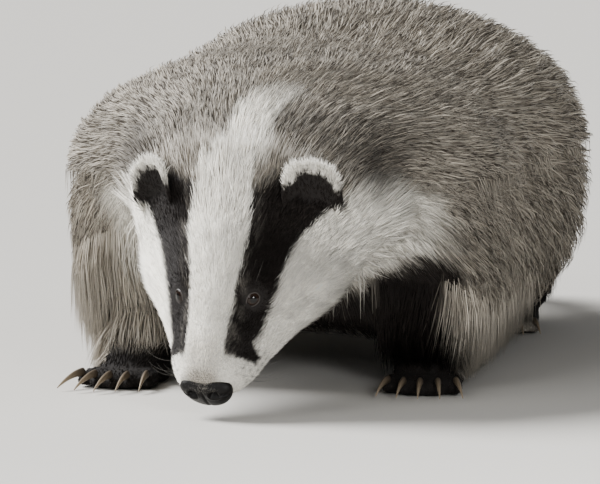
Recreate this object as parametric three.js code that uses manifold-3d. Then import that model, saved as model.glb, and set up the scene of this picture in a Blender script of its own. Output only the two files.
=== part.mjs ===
// European badger, life size, standing square with its head lowered to sniff the ground.
// Millimetres, +Z up. The head points towards -Y and the animal's left is +X.
import * as THREE from 'three';
import { mergeVertices } from 'three/addons/utils/BufferGeometryUtils.js';
import Module from 'manifold-3d';

const wasm = await Module();
wasm.setup();
const { Vector3 } = THREE;
const { cos, sin, abs, sign, sqrt, exp, min, max, PI, round } = Math;
const radians = THREE.MathUtils.degToRad;

// Driving dimensions
const JOIN_GAP = 0.3; // between neighbouring pieces
const NOSE_TIP = [-16, -150, 17];
const HEAD_TURN = { yaw: -8.5, pitch: 52.3, roll: 0.6 }; // turned to its right and down
const HEAD_LENGTH = 146; // nose tip to the cut behind the ears
const HEAD_AROUND = 28;
const HEAD_ALONG = 20;
const BODY_AROUND = 20;
const BODY_ALONG = 18;

// Head sections, square to the head's axis. back: from the nose tip, half: half width, mid: height
// of the widest place, top and chin: heights of the outline over the axis, crest: how round the top is.
const HEAD_SECTIONS = [
  { back: 6.5, half: 11, mid: -2, top: 6, chin: -11, crest: 2.0 },
  { back: 10, half: 18.5, mid: -3, top: 11.5, chin: -16, crest: 2.0 },
  { back: 16, half: 23.5, mid: -4, top: 16, chin: -19, crest: 1.9 },
  { back: 30, half: 30, mid: -5, top: 21.5, chin: -23, crest: 1.75 },
  { back: 46, half: 38.5, mid: -6, top: 26.5, chin: -27, crest: 1.55 },
  { back: 66, half: 50, mid: -7, top: 33, chin: -34, crest: 1.45 },
  { back: 86, half: 60.5, mid: -7, top: 41, chin: -43, crest: 1.5 },
  { back: 106, half: 69, mid: -5, top: 48.5, chin: -52, crest: 1.6 },
  { back: 128, half: 78, mid: -3, top: 54, chin: -59, crest: 1.75 },
  { back: 150, half: 86, mid: -2, top: 61, chin: -66, crest: 1.9 },
];

// Neck and trunk sections out to the tips of the coat. lean: how far the section's top tips forward.
const TRUNK_SECTIONS = [
  { x: -6, y: -30, z: 150, yaw: -5, lean: 35, half: 112, up: 76, down: 102, crest: 2.0, skirt: 2.6, coat: 16 },
  { x: -9, y: 6, z: 150, yaw: -3, lean: 14, half: 149, up: 88, down: 140, crest: 2.1, skirt: 3.6, coat: 23 },
  { x: -9, y: 46, z: 150, yaw: -1, lean: 4, half: 163, up: 94, down: 145, crest: 2.1, skirt: 4.2, coat: 28 },
  { x: -8, y: 100, z: 150, yaw: 0, lean: 2, half: 162, up: 97, down: 143, crest: 2.0, skirt: 4.2, coat: 30 },
  { x: -8, y: 175, z: 150, yaw: 0, lean: 0, half: 162, up: 101, down: 140, crest: 2.0, skirt: 4.0, coat: 30 },
  { x: -11, y: 250, z: 151, yaw: 0, lean: 0, half: 169, up: 111, down: 139, crest: 2.05, skirt: 4.0, coat: 30 },
  { x: -13, y: 330, z: 152, yaw: 0, lean: 0, half: 177, up: 119, down: 140, crest: 2.05, skirt: 3.8, coat: 30 },
  { x: -14, y: 405, z: 153, yaw: 0, lean: -2, half: 172, up: 116, down: 134, crest: 2.0, skirt: 3.4, coat: 30 },
  { x: -14, y: 470, z: 155, yaw: 1, lean: -6, half: 148, up: 101, down: 122, crest: 1.9, skirt: 2.9, coat: 28 },
  { x: -14, y: 522, z: 158, yaw: 2, lean: -15, half: 98, up: 73, down: 90, crest: 1.9, skirt: 2.4, coat: 25 },
  { x: -13, y: 550, z: 160, yaw: 3, lean: -20, half: 46, up: 38, down: 44, crest: 2.0, skirt: 2.2, coat: 18 },
];
const BELLY_LIFT = 0.25; // share of a section's depth that the middle of the belly is raised
const NECK_CUT = { y: -14, z: 150, lean: 15 };
const TAIL_CUT = { y: 541, z: 160, lean: -20 };

// The coat: locks root on a core that reaches half way to their tips, in staggered rows.
const CORE_SHARE = 0.5;
const LOCK = { length: 26, perCoat: 2.45, half: 18, halfPerCoat: 0.52, thick: 3.2, rowShare: 0.66 };
const LOCK_STEPS = 3;
const LOCK_ROOM = 1.3; // that another piece's coat leaves around a lock
const BADGER_SEED = 423;
// No long locks grow below this sine of a section's angle: less of the chest and rump is covered.
const bareBelow = (y) => (y < 20 || y > 380 ? -0.5 : -0.9);
const DROOP = 28; // degrees that the coat of the flanks falls from the line of the back
const EYE = { side: 27, back: 64.5, radius: 6.6, proud: 1.6 };
const LID = { long: 5.4, short: 4.6, lift: 3.4, thick: 1.7 };
const MOUTH = { front: 9, back: 62, high: 1.7, deep: 3 };
const mouthUp = (back) => -10.5 - 0.15 * back; // height of the mouth line over the head's axis
const EAR = { side: 56, back: 133, up: 31, width: 39, height: 39, thick: 4.4, cup: 9 };
const EAR_ACROSS = new Vector3(0.846, 0.234, -0.478); // outwards along the head, in head directions
const EAR_RISE = new Vector3(0.13, 0.544, 0.829);
const PAD = { half: 18.4, up: 9.5, down: 11, back: 13 };

// Tail sections out to the tips of the coat, and the share of its length that its core reaches.
const TAIL = [
  { x: -14, y: 532, z: 160, wide: 38, deep: 36 },
  { x: -13, y: 562, z: 150, wide: 38, deep: 35 },
  { x: -12, y: 592, z: 133, wide: 37, deep: 33 },
  { x: -11, y: 620, z: 110, wide: 31, deep: 28 },
  { x: -11, y: 641, z: 85, wide: 20, deep: 19 },
  { x: -11, y: 655, z: 62, wide: 6, deep: 6 },
];
const TAIL_COAT = 22;
const TAIL_CORE = 0.84;

const FEET = {
  foreleft: { x: 98, y: 38, toe: 4 },
  foreright: { x: -116, y: 24, toe: -4 },
  hindleft: { x: 88, y: 414, toe: 6 },
  hindright: { x: -114, y: 396, toe: -6 },
};

// Solid geometry helpers
function toSolid(geometry) {
  const bare = geometry.clone();
  for (const name of Object.keys(bare.attributes)) if (name !== 'position') bare.deleteAttribute(name);
  const merged = mergeVertices(bare, 1e-4);
  const vertProperties = new Float32Array(merged.attributes.position.array);
  const corners = [...merged.index.array];
  const triVerts = [];
  for (let i = 0; i < corners.length; i += 3) {
    const [a, b, c] = corners.slice(i, i + 3);
    if (a !== b && b !== c && c !== a) triVerts.push(a, b, c);
  }
  const at = (i) => new Vector3().fromArray(vertProperties, 3 * i);
  let volume = 0;
  for (let i = 0; i < triVerts.length; i += 3) {
    volume += at(triVerts[i]).dot(at(triVerts[i + 1]).cross(at(triVerts[i + 2])));
  }
  if (volume < 0) triVerts.reverse();
  return new wasm.Manifold(new wasm.Mesh({ numProp: 3, vertProperties, triVerts: new Uint32Array(triVerts) }));
}

const join = (pieces) => pieces.reduce((sum, piece) => sum.add(piece));
const cut = (solid, tools) => tools.reduce((rest, tool) => rest.subtract(tool), solid);

// The largest closed surface of a solid: no scraps and no sealed hollows.
function largest(solid) {
  return solid.decompose().reduce((best, part) => (part.volume() > best.volume() ? part : best));
}

// The place of vertex i, with the rounding noise of a seam set to 0.
function vertexPlace(place, i) {
  return [place.getX(i), place.getY(i), place.getZ(i)].map((value) => (abs(value) < 1e-6 ? 0 : value));
}

// A tube whose wall point is wall(t, angle) for t from 0 to 1, closed at each end on hub(t).
function sleeve(wall, hub, around, along) {
  const geometry = new THREE.CylinderGeometry(1, 1, 1, around, along);
  const place = geometry.attributes.position;
  for (let i = 0; i < place.count; i += 1) {
    const [x, y, z] = vertexPlace(place, i);
    const t = round((y + 0.5) * along) / along;
    const point = x * x + z * z < 0.25 ? hub(t) : wall(t, Math.atan2(z, x));
    place.setXYZ(i, point.x, point.y, point.z);
  }
  return toSolid(geometry);
}

// A ball whose points at (x, y, z) on the unit sphere are moved to shape(x, y, z).
function ball(shape, around, rings) {
  const geometry = new THREE.SphereGeometry(1, around, rings);
  const place = geometry.attributes.position;
  for (let i = 0; i < place.count; i += 1) {
    const point = shape(...vertexPlace(place, i));
    place.setXYZ(i, point.x, point.y, point.z);
  }
  return toSolid(geometry);
}

// The half of space on the back side of a plane, as a large box.
function behind(frame, distance = 0) {
  const size = 1200;
  const geometry = new THREE.BoxGeometry(size, size, size);
  geometry.translate(0, distance + size / 2, 0);
  geometry.applyMatrix4(new THREE.Matrix4().makeBasis(frame.side, frame.back, frame.up).setPosition(frame.at));
  return toSolid(geometry);
}

// A section plane: its place, and its sideways, backward and upward directions.
function makeFrame(x, y, z, yaw, pitch, roll = 0) {
  const [turn, tip, tilt] = [yaw, pitch, roll].map(radians);
  const side = new Vector3(cos(turn), sin(turn), 0);
  const back = new Vector3(-sin(turn) * cos(tip), cos(turn) * cos(tip), sin(tip));
  const up = new Vector3().crossVectors(side, back);
  const level = side.clone().multiplyScalar(cos(tilt)).addScaledVector(up, sin(tilt));
  up.multiplyScalar(cos(tilt)).addScaledVector(side, -sin(tilt));
  return { at: new Vector3(x, y, z), side: level, back, up };
}

function inFrame(frame, side, back, up) {
  const point = frame.at.clone().addScaledVector(frame.side, side);
  return point.addScaledVector(frame.back, back).addScaledVector(frame.up, up);
}

const power = (value, exponent) => sign(value) * abs(value) ** exponent;
const bump = (distance, width) => exp(-((distance / width) ** 2));

// Smooth value of a row of records between its entries, through every entry.
function blend(rows, key, t) {
  const place = min(max(t, 0), 1) * (rows.length - 1);
  const i = min(Math.floor(place), rows.length - 2);
  const f = place - i;
  const value = (k) => rows[min(max(k, 0), rows.length - 1)][key];
  const [a, b, c, d] = [value(i - 1), value(i), value(i + 1), value(i + 2)];
  return b + 0.5 * f * (c - a + f * (2 * a - 5 * b + 4 * c - d + f * (3 * (b - c) + d - a)));
}

// Head
const HEAD = makeFrame(...NOSE_TIP, HEAD_TURN.yaw, HEAD_TURN.pitch, HEAD_TURN.roll);
const onHead = (side, back, up) => inFrame(HEAD, side, back, up);

// Outline of the head at a share t of its length: an upper and a lower half that meet at the widest place.
function headOutline(t, angle, grow) {
  const part = (key) => blend(HEAD_SECTIONS, key, t);
  const [back, half, mid, top, chin, crest] = ['back', 'half', 'mid', 'top', 'chin', 'crest'].map(part);
  const upper = sin(angle) > 0;
  const round = upper ? crest : 2.3;
  const tall = upper ? top - mid : mid - chin;
  const side = (half + grow) * power(cos(angle), 2 / round);
  const up = mid + (tall + grow) * power(sin(angle), 2 / round);
  return { side, back, up };
}

// Brow, muzzle and cheek swellings and the hollow in front of each eye, outward from the axis.
function headRelief(side, back, up) {
  const away = abs(side);
  const brow = 2.6 * bump(away - 24, 9) * bump(back - 74, 12) * bump(up - 26, 12);
  const hollow = -2.4 * bump(away - 24, 9) * bump(back - 54, 11) * bump(up - 15, 12);
  const whiskerPad = 2.2 * bump(away - 23, 10) * bump(back - 26, 11) * bump(up + 6, 10);
  const cheek = 2.5 * bump(away - 60, 18) * bump(back - 92, 22) * bump(up + 6, 20);
  const furrow = -1.4 * bump(away, 7) * bump(back - 84, 24) * bump(up - 36, 16);
  const inMouth = bump(max(back - MOUTH.back + 16, 0), 12);
  const lip = 1.5 * inMouth * bump(up - mouthUp(back) - 4, 4);
  const jaw = -2.2 * inMouth * min(max((mouthUp(back) - up) / 3, 0), 1);
  return brow + hollow + whiskerPad + cheek + furrow + lip + jaw;
}

function headSurface(t, angle, grow = 0) {
  const { side, back, up } = headOutline(t, angle, grow);
  const relief = headRelief(side, back, up);
  const reach = Math.hypot(side, up);
  const scale = reach > 1 ? 1 + relief / reach : 1;
  return onHead(side * scale, back, up * scale);
}

// The place and outward direction on the upper half of the head at a sideways and backward distance.
function onFace(side, back) {
  let [front, rear] = [0, 1];
  for (let i = 0; i < 24; i += 1) {
    const middle = (front + rear) / 2;
    if (blend(HEAD_SECTIONS, 'back', middle) < back) front = middle;
    else rear = middle;
  }
  const share = abs(side) / blend(HEAD_SECTIONS, 'half', front);
  const angle = Math.acos(share ** (blend(HEAD_SECTIONS, 'crest', front) / 2));
  const facing = side < 0 ? PI - angle : angle;
  const step = 0.01;
  const across = headSurface(front, facing + step).sub(headSurface(front, facing - step));
  const along = headSurface(front + step, facing).sub(headSurface(front - step, facing));
  const out = new Vector3().crossVectors(across, along).normalize();
  return { at: headSurface(front, facing), out: out.dot(HEAD.up) < 0 ? out.negate() : out };
}

function headSolid(grow = 0) {
  const hub = (t) => onHead(0, blend(HEAD_SECTIONS, 'back', t) + (t < 0.5 ? -grow : 20), 0);
  return sleeve((t, angle) => headSurface(t, angle, grow), hub, HEAD_AROUND, HEAD_ALONG);
}

// The mouth line: a curved sheet that cuts only into the outside of the muzzle.
function mouthGroove() {
  const span = MOUTH.back - MOUTH.front;
  const wall = (t, angle) => {
    const back = MOUTH.front + span * t;
    const high = MOUTH.high * (1 - 0.6 * t);
    const turn = angle + PI / 4;
    return onHead(70 * sign(cos(turn)), back, mouthUp(back) + (high / 2) * sign(sin(turn)));
  };
  const hub = (t) => onHead(0, MOUTH.front + span * t, mouthUp(MOUTH.front + span * t));
  return sleeve(wall, hub, 4, 5).subtract(headSolid(-MOUTH.deep));
}

// Neck and trunk: one form from the back of the head to the root of the tail.
const TRUNK_ROWS = [
  { back: 124, half: 76, up: 56, down: 54, crest: 1.75 },
  { back: 148, half: 85, up: 63, down: 63, crest: 1.9 },
].map((row) => {
  const at = onHead(0, row.back, -3);
  return { x: at.x, y: at.y, z: at.z, yaw: HEAD_TURN.yaw, lean: HEAD_TURN.pitch, skirt: 2.2, coat: 3, ...row };
}).concat(TRUNK_SECTIONS);

// Coat depth at a place, from the skin to the tips: the belly's is short.
function trunkCoat(t, angle) {
  const flank = min(max((sin(angle) + 0.95) / 0.5, 0), 1);
  return blend(TRUNK_ROWS, 'coat', t) * (0.4 + 0.6 * flank);
}

// A point of the trunk, so far inside the tips of its coat.
function trunkSurface(t, angle, inset = 0) {
  const part = (key) => blend(TRUNK_ROWS, key, t);
  const frame = makeFrame(part('x'), part('y'), part('z'), part('yaw'), part('lean'));
  const upper = sin(angle) > 0;
  const round = part(upper ? 'crest' : 'skirt');
  const wide = (part('half') - inset) * power(cos(angle), 2 / round);
  const lift = upper ? 0 : BELLY_LIFT * min(part('skirt') - 2, 1) * bump(cos(angle), 0.42);
  const tall = (part(upper ? 'up' : 'down') * (1 - lift) - inset) * power(sin(angle), 2 / round);
  return inFrame(frame, wide, 0, tall);
}

function trunkSolid(insetAt) {
  const hub = (t) => new Vector3(...['x', 'y', 'z'].map((key) => blend(TRUNK_ROWS, key, t)));
  return sleeve((t, angle) => trunkSurface(t, angle, insetAt(t, angle)), hub, BODY_AROUND, BODY_ALONG);
}

// Seeded random numbers from -1 to 1.
function makeDice(seed) {
  let state = seed;
  return () => {
    state = (Math.imul(state, 1664525) + 1013904223) >>> 0;
    return state / 2147483648 - 1;
  };
}

// Directions of a surface at a place: its run per unit of t and per radian, and outwards.
function surfaceAxes(surface, t, angle) {
  const step = 0.004;
  const along = surface(t + step, angle).sub(surface(t - step, angle)).divideScalar(2 * step);
  const across = surface(t, angle + step).sub(surface(t, angle - step)).divideScalar(2 * step);
  return { along, across, out: new Vector3().crossVectors(along, across).normalize() };
}

// One lock: three-sided, flat underneath and ridged on top. It starts under the core, widens, lies
// back along the coat while it rises to the outline, and ends in a point. grow thickens it on all sides.
function lockSolid(coat, root, dice, grow = 0) {
  const depth = coat.depth(root.t, root.angle);
  const core = depth * CORE_SHARE;
  let { t, angle } = root;
  const reach = surfaceAxes(coat.surface, t, angle).along.length();
  const long = min((LOCK.length + LOCK.perCoat * depth) * (1 + 0.12 * dice()), 0.95 * (1 - t) * reach);
  const half = (LOCK.half + LOCK.halfPerCoat * depth) * (1 + 0.08 * dice());
  const bend = 0.22 * dice();
  const stray = 0.1 * dice();
  t -= (2 * grow) / reach;
  const path = [];
  for (let i = 0; i <= LOCK_STEPS; i += 1) {
    const share = i / LOCK_STEPS;
    const { along, across, out } = surfaceAxes(coat.surface, t, angle);
    const rise = core * (1 - share) + (i === 0 ? LOCK.thick : 0);
    const fall = coat.fall(angle) + stray + bend * (share - 0.3);
    const wide = i === LOCK_STEPS ? 0 : half * sqrt(max(1 - (share / 0.98 - 0.36) ** 2 / 0.41, 0.05));
    const low = (i === LOCK_STEPS ? 0 : LOCK.thick * (1 - 0.5 * share)) + (wide * wide) / 300;
    path.push({ at: coat.surface(t, angle, rise), out, wide, low });
    const step = (long / LOCK_STEPS) * (i === 0 ? 1.1 : 1) + (i === 0 ? 4 * grow : 0);
    t += (cos(fall) * step) / along.length();
    angle += (sin(fall) * step) / across.length();
  }
  const ring = path.map(({ at, out, wide, low }, i) => {
    const ahead = path[min(i + 1, LOCK_STEPS)].at.clone().sub(path[max(i - 1, 0)].at);
    const side = new Vector3().crossVectors(ahead, out).normalize();
    const broad = wide * (1 + grow / 3) + grow;
    const edge = (way) => at.clone().addScaledVector(side, way * broad).addScaledVector(out, -low - grow);
    return [at.clone().addScaledVector(out, grow), edge(1), edge(-1)];
  });
  const corner = (turn) => round((turn + (5 * PI) / 6) / ((2 * PI) / 3)) % 3;
  const wall = (share, turn) => ring[round(share * LOCK_STEPS)][corner(turn)].clone();
  const hub = (share) => {
    const [top, left, right] = ring[round(share * LOCK_STEPS)];
    return top.clone().add(left).add(right).divideScalar(3);
  };
  return sleeve(wall, hub, 3, LOCK_STEPS);
}

// Angles that part a section's outline into equal lengths, the first of them moved on by shift.
function evenAngles(surface, t, pitch, shift) {
  const samples = 96;
  const lengths = [0];
  for (let i = 1; i <= samples; i += 1) {
    const [a, b] = [i - 1, i].map((k) => surface(t, (2 * PI * k) / samples, 0));
    lengths.push(lengths[i - 1] + a.distanceTo(b));
  }
  const total = lengths[samples];
  const count = round(total / pitch);
  return Array.from({ length: count }, (_, k) => {
    const goal = (((k + shift) / count) % 1) * total;
    const i = lengths.findIndex((value) => value > goal);
    return (2 * PI * (i - (lengths[i] - goal) / (lengths[i] - lengths[i - 1]))) / samples;
  });
}

// Roots of the locks in staggered rows from one share of the length to another.
function lockRoots(coat, from, to) {
  const roots = [];
  let shift = 0;
  for (let t = from; t < to;) {
    const depth = coat.depth(t, 0);
    const long = LOCK.length + LOCK.perCoat * depth;
    const pitch = 2 * (LOCK.half + LOCK.halfPerCoat * depth);
    for (const angle of evenAngles(coat.surface, t, pitch, shift)) roots.push({ t, angle });
    shift = 0.5 - shift;
    t += (long * LOCK.rowShare) / surfaceAxes(coat.surface, t, PI / 2).along.length();
  }
  return roots;
}

// The surface of a limb or tail: round sections carried along a path through the rows' places.
function limbSurface(rows) {
  const path = new THREE.CatmullRomCurve3(rows.map((row) => new Vector3(row.x, row.y, row.z)));
  return (t, angle, inset = 0) => {
    const share = min(max(t, 0), 1);
    const ahead = path.getTangent(share);
    const side = new Vector3(1, 0, 0).addScaledVector(ahead, -ahead.x).normalize();
    const front = new Vector3().crossVectors(side, ahead);
    const wide = blend(rows, 'wide', share) - inset;
    const deep = blend(rows, 'deep', share) - inset;
    return path.getPoint(share).addScaledVector(side, wide * cos(angle)).addScaledVector(front, deep * sin(angle));
  };
}

function limb(rows, around, along, grow = 0) {
  const surface = limbSurface(rows);
  const middle = (t) => surface(t, 0).add(surface(t, PI)).multiplyScalar(0.5);
  const run = (t) => middle(min(t + 0.02, 1)).sub(middle(max(t - 0.02, 0))).normalize();
  const hub = (t) => middle(t).addScaledVector(run(t), (t < 0.5 ? -1 : 1) * grow);
  return sleeve((t, angle) => surface(t, angle, -grow), hub, around, along);
}

function forelegSolid(foot, grow = 0) {
  const { x, y } = foot;
  const inward = -sign(x);
  return limb([
    { x: x + 20 * inward, y: y + 52, z: 128, wide: 28, deep: 36 },
    { x: x + 12 * inward, y: y + 47, z: 98, wide: 29, deep: 39 },
    { x: x + 5 * inward, y: y + 38, z: 66, wide: 28, deep: 32 },
    { x, y: y + 26, z: 40, wide: 25, deep: 24 },
    { x, y: y + 21, z: 18, wide: 25, deep: 22 },
  ], 10, 5, grow);
}

function hindlegSolid(foot, grow = 0) {
  const { x, y } = foot;
  const inward = -sign(x);
  return limb([
    { x: x + 12 * inward, y: y - 2, z: 138, wide: 38, deep: 52 },
    { x: x + 5 * inward, y: y + 6, z: 104, wide: 38, deep: 51 },
    { x, y: y + 20, z: 72, wide: 33, deep: 40 },
    { x, y: y + 34, z: 46, wide: 26, deep: 28 },
    { x, y: y + 37, z: 18, wide: 24, deep: 24 },
  ], 10, 5, grow);
}

const PAWS = {
  fore: { cutHeight: 25, length: 68, heel: 42, ankle: 21, half: 27, tall: 31, toeReach: 17, toeHalf: 6.6, claw: 24 },
  hind: { cutHeight: 27, length: 94, heel: 60, ankle: 37, half: 25, tall: 33, toeReach: 15, toeHalf: 6.2, claw: 14 },
};
const TOES = 5;

// Where toe number k of a paw stands: the toes fan out, and the middle ones reach furthest.
function toePlace(paw, foot, k) {
  const across = (k - (TOES - 1) / 2) / ((TOES - 1) / 2);
  const side = across * (paw.half - paw.toeHalf + 1);
  const reach = paw.length - paw.heel - 2 - 9 * across * across;
  return { side, reach, fan: radians(foot.toe + 13 * across) };
}

// Palm and wrist as one flattened ball that rises to the leg behind, with five toes in front.
function pawBody(kind, foot, grow = 0) {
  const paw = PAWS[kind];
  const frame = makeFrame(foot.x, foot.y, 0, foot.toe, 0);
  const onFloor = (side, back, up) => inFrame(frame, side, back, max(up, 0));
  const span = paw.length / 2 - 6;
  const middle = paw.heel - span - 2;
  const palm = ball((x, y, z) => {
    const high = z > 0 ? 8 + paw.tall * (0.42 + 0.42 * bump(middle + y * span - paw.ankle, 22)) : 12;
    const side = power(x, 0.8) * (paw.half - 2 + grow) * (1 - 0.08 * y);
    return onFloor(side, middle + y * (span + grow), 5 + z * (high + grow));
  }, 10, 5);
  const toes = Array.from({ length: TOES }, (_, k) => {
    const { side, reach, fan } = toePlace(paw, foot, k);
    return ball((x, y, z) => {
      const along = y * (paw.toeReach + grow);
      const sideways = side + x * (paw.toeHalf + grow) - sin(fan) * along;
      return onFloor(sideways, along - reach - 4, 6 + z * (7.5 + grow) + 1.5 * y);
    }, 6, 4);
  });
  return join([palm, ...toes]);
}

const pawTop = (kind, lift) => behind(makeFrame(0, 0, PAWS[kind].cutHeight, 0, 90), lift);
const pawSolid = (kind, foot) => cut(pawBody(kind, foot), [pawTop(kind, 0)]);

// A claw: a curved cone from the toe's tip, deeper than it is wide.
function clawSolid(kind, foot, k) {
  const paw = PAWS[kind];
  const frame = makeFrame(foot.x, foot.y, 0, foot.toe, 0);
  const { side, reach, fan } = toePlace(paw, foot, k);
  const start = reach + 4 + paw.toeReach - 5;
  const long = paw.claw + 5;
  const wall = (t, angle) => {
    const along = start + long * t;
    const drop = 11 - 8.4 * t * t;
    const wide = 2.3 * (1 - 0.8 * t);
    const deep = 3.1 * (1 - 0.78 * t);
    const sideways = side + sin(fan) * (along - reach - 4);
    return inFrame(frame, sideways + wide * cos(angle), -along, drop + deep * sin(angle));
  };
  const hub = (t) => wall(t, 0).add(wall(t, PI)).multiplyScalar(0.5);
  return sleeve(wall, hub, 4, 3);
}

// Eye, ear and nose
function eyeCentre(sideSign) {
  const { at, out } = onFace(sideSign * EYE.side, EYE.back);
  return at.addScaledVector(out, EYE.proud - EYE.radius);
}

function eyeSolid(sideSign, grow = 0) {
  const centre = eyeCentre(sideSign);
  return ball((x, y, z) => new Vector3(x, y, z).multiplyScalar(EYE.radius + grow).add(centre), 10, 7);
}

// A ring of eyelid that lies on the eyeball and runs to a corner in front.
function lidSolid(sideSign) {
  const { out } = onFace(sideSign * EYE.side, EYE.back);
  const ahead = HEAD.back.clone().negate().addScaledVector(HEAD.side, -0.35 * sideSign);
  ahead.addScaledVector(out, -ahead.dot(out)).normalize();
  const across = new Vector3().crossVectors(out, ahead);
  const geometry = new THREE.TorusGeometry(1, 0.5, 6, 14);
  const place = geometry.attributes.position;
  for (let i = 0; i < place.count; i += 1) {
    const [x, y, z] = vertexPlace(place, i);
    const turn = Math.atan2(y, x);
    const tube = (Math.hypot(x, y) - 1) * 2 * LID.thick;
    const long = LID.long * (1 + 0.25 * max(cos(turn), 0) ** 4) + tube;
    const point = eyeCentre(sideSign).addScaledVector(ahead, long * cos(turn));
    point.addScaledVector(across, (LID.short + tube) * sin(turn));
    point.addScaledVector(out, LID.lift + 2 * LID.thick * z - 0.6 * max(cos(turn), 0));
    place.setXYZ(i, point.x, point.y, point.z);
  }
  return toSolid(geometry);
}

// A round, upright cup, open to the front and outside: a flattened ball whose edges curl forwards.
function earSolid(sideSign) {
  const facing = new Vector3().crossVectors(EAR_ACROSS, EAR_RISE);
  const shape = (x, y, z) => {
    const rise = (y + 0.55) / 1.55;
    const curl = EAR.cup * (x * x - 0.3) * (1 - 0.35 * max(rise, 0)) + (EAR.thick / 2) * power(z, 0.4);
    const place = new Vector3(EAR.side, EAR.back, EAR.up).addScaledVector(EAR_ACROSS, (x * EAR.width) / 2);
    place.addScaledVector(EAR_RISE, rise * EAR.height).addScaledVector(facing, curl);
    return onHead(sideSign * place.x, place.y, place.z);
  };
  return ball(shape, 12, 8);
}

// The nose pad, with a nostril and its outward slit on each side and a groove down the middle.
function noseSolid() {
  const oval = (side, back, up, wide, deep, tall, around, rings) =>
    ball((x, y, z) => onHead(side + x * wide, back + y * deep, up + z * tall), around, rings);
  const pad = ball((x, y, z) => {
    const up = (z > 0 ? PAD.up : PAD.down) * z * (1 - 0.12 * x * x) - 1;
    return onHead(PAD.half * power(x, 0.9), 8 + 8 * y + 0.1 * up, up);
  }, 14, 8);
  const pits = [1, -1].flatMap((way) => [
    oval(7.4 * way, 0.9, -0.5, 3.3, 3.4, 2.7, 6, 5),
    oval(12.5 * way, 3.6, -2.8, 5, 3.4, 1.3, 6, 4),
  ]);
  return cut(pad, [...pits, oval(0, 0, -6, 0.9, 1.9, 7, 4, 4)]);
}

const tailSurface = limbSurface(TAIL);

function tailCore() {
  const wall = (t, angle) => tailSurface(t * TAIL_CORE, angle, CORE_SHARE * TAIL_COAT * (1 - 0.6 * t ** 4));
  const hub = (t) => wall(t, 0).add(wall(t, PI)).multiplyScalar(0.5);
  return sleeve(wall, hub, 10, 6);
}

// Parting the whole into named pieces
const headBack = makeFrame(...onHead(0, HEAD_LENGTH, 0).toArray(), HEAD_TURN.yaw, HEAD_TURN.pitch, HEAD_TURN.roll);
const neckBack = makeFrame(0, NECK_CUT.y, NECK_CUT.z, 0, NECK_CUT.lean);
const rumpBack = makeFrame(0, TAIL_CUT.y, TAIL_CUT.z, 0, TAIL_CUT.lean);

const pieces = {};
const legs = [];
for (const [name, foot] of Object.entries(FEET)) {
  const kind = name.startsWith('fore') ? 'fore' : 'hind';
  const label = name.endsWith('left') ? 'left' : 'right';
  const legShape = kind === 'fore' ? forelegSolid : hindlegSolid;
  const aboveFoot = pawTop(kind, JOIN_GAP);
  pieces[`${kind}leg_${label}`] = legShape(foot).intersect(aboveFoot);
  legs.push(legShape(foot, JOIN_GAP * 1.4), pawBody(kind, foot, JOIN_GAP * 1.4));
  pieces[`${kind}paw_${label}`] = pawSolid(kind, foot);
  const clearance = pawBody(kind, foot, JOIN_GAP);
  for (let k = 0; k < TOES; k += 1) {
    pieces[`claw_${name}_${k + 1}`] = cut(clawSolid(kind, foot, k), [clearance]);
  }
}

const eyeRoom = [eyeSolid(1, JOIN_GAP), eyeSolid(-1, JOIN_GAP)];
const openHead = cut(headSolid(), [mouthGroove(), behind(headBack, -JOIN_GAP / 2)]);
pieces.head = cut(join([openHead, lidSolid(1), lidSolid(-1)]), eyeRoom);

const trunk = trunkSolid((t, angle) => CORE_SHARE * trunkCoat(t, angle));
const trunkLie = {
  surface: trunkSurface,
  depth: trunkCoat,
  fall: (angle) => -radians(DROOP) * cos(angle) * (1 - 0.5 * sin(angle)),
};
const backwardOf = (frame, point) => point.clone().sub(frame.at).dot(frame.back);
const dice = makeDice(BADGER_SEED);
const roots = lockRoots(trunkLie, 1.25 / (TRUNK_ROWS.length - 1), 0.91)
  .map((root) => ({ ...root, seed: round(1e6 * (1 + dice())) }))
  .map((root) => ({ ...root, at: trunkSurface(root.t, root.angle, 14) }))
  .filter(({ angle, at }) => sin(angle) > bareBelow(at.y));
const neckRoots = roots.filter(({ at }) => backwardOf(headBack, at) > 3 && backwardOf(neckBack, at) < -4);
const torsoRoots = roots.filter(({ at }) => backwardOf(neckBack, at) >= 4);
const grown = (lie, list, grow = 0) => list.map((root) => lockSolid(lie, root, makeDice(root.seed), grow));
const headRoom = headSolid(JOIN_GAP * 1.5);

const neckCore = cut(trunk, [behind(neckBack, -JOIN_GAP / 2)]);
pieces.neck = cut(
  wasm.Manifold.union([neckCore, ...grown(trunkLie, neckRoots)]).intersect(behind(headBack, JOIN_GAP / 2)),
  legs,
);
const torsoCore = cut(trunk, [behind(rumpBack, -JOIN_GAP / 2)]);
pieces.torso = cut(
  wasm.Manifold.union([torsoCore, ...grown(trunkLie, torsoRoots)]).intersect(behind(neckBack, JOIN_GAP / 2)),
  [...legs, wasm.Manifold.union(grown(trunkLie, neckRoots, LOCK_ROOM)), pieces.neck],
);

const tailLie = { surface: tailSurface, depth: () => TAIL_COAT, fall: () => 0 };
const tailRoots = lockRoots(tailLie, 0.2, 0.62).map((root) => ({ ...root, seed: round(1e6 * (1 + dice())) }));
const rumpRoots = torsoRoots.filter(({ at }) => backwardOf(rumpBack, at) > -130);
pieces.tail = cut(
  wasm.Manifold.union([tailCore(), ...grown(tailLie, tailRoots)]).intersect(behind(rumpBack, JOIN_GAP / 2)),
  [wasm.Manifold.union(grown(trunkLie, rumpRoots, LOCK_ROOM))],
);
for (const [label, sideSign] of [['left', 1], ['right', -1]]) {
  pieces[`eye_${label}`] = eyeSolid(sideSign);
  pieces[`ear_${label}`] = cut(earSolid(sideSign), [headRoom]);
}
pieces.nose = cut(noseSolid(), [headRoom]);

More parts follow.
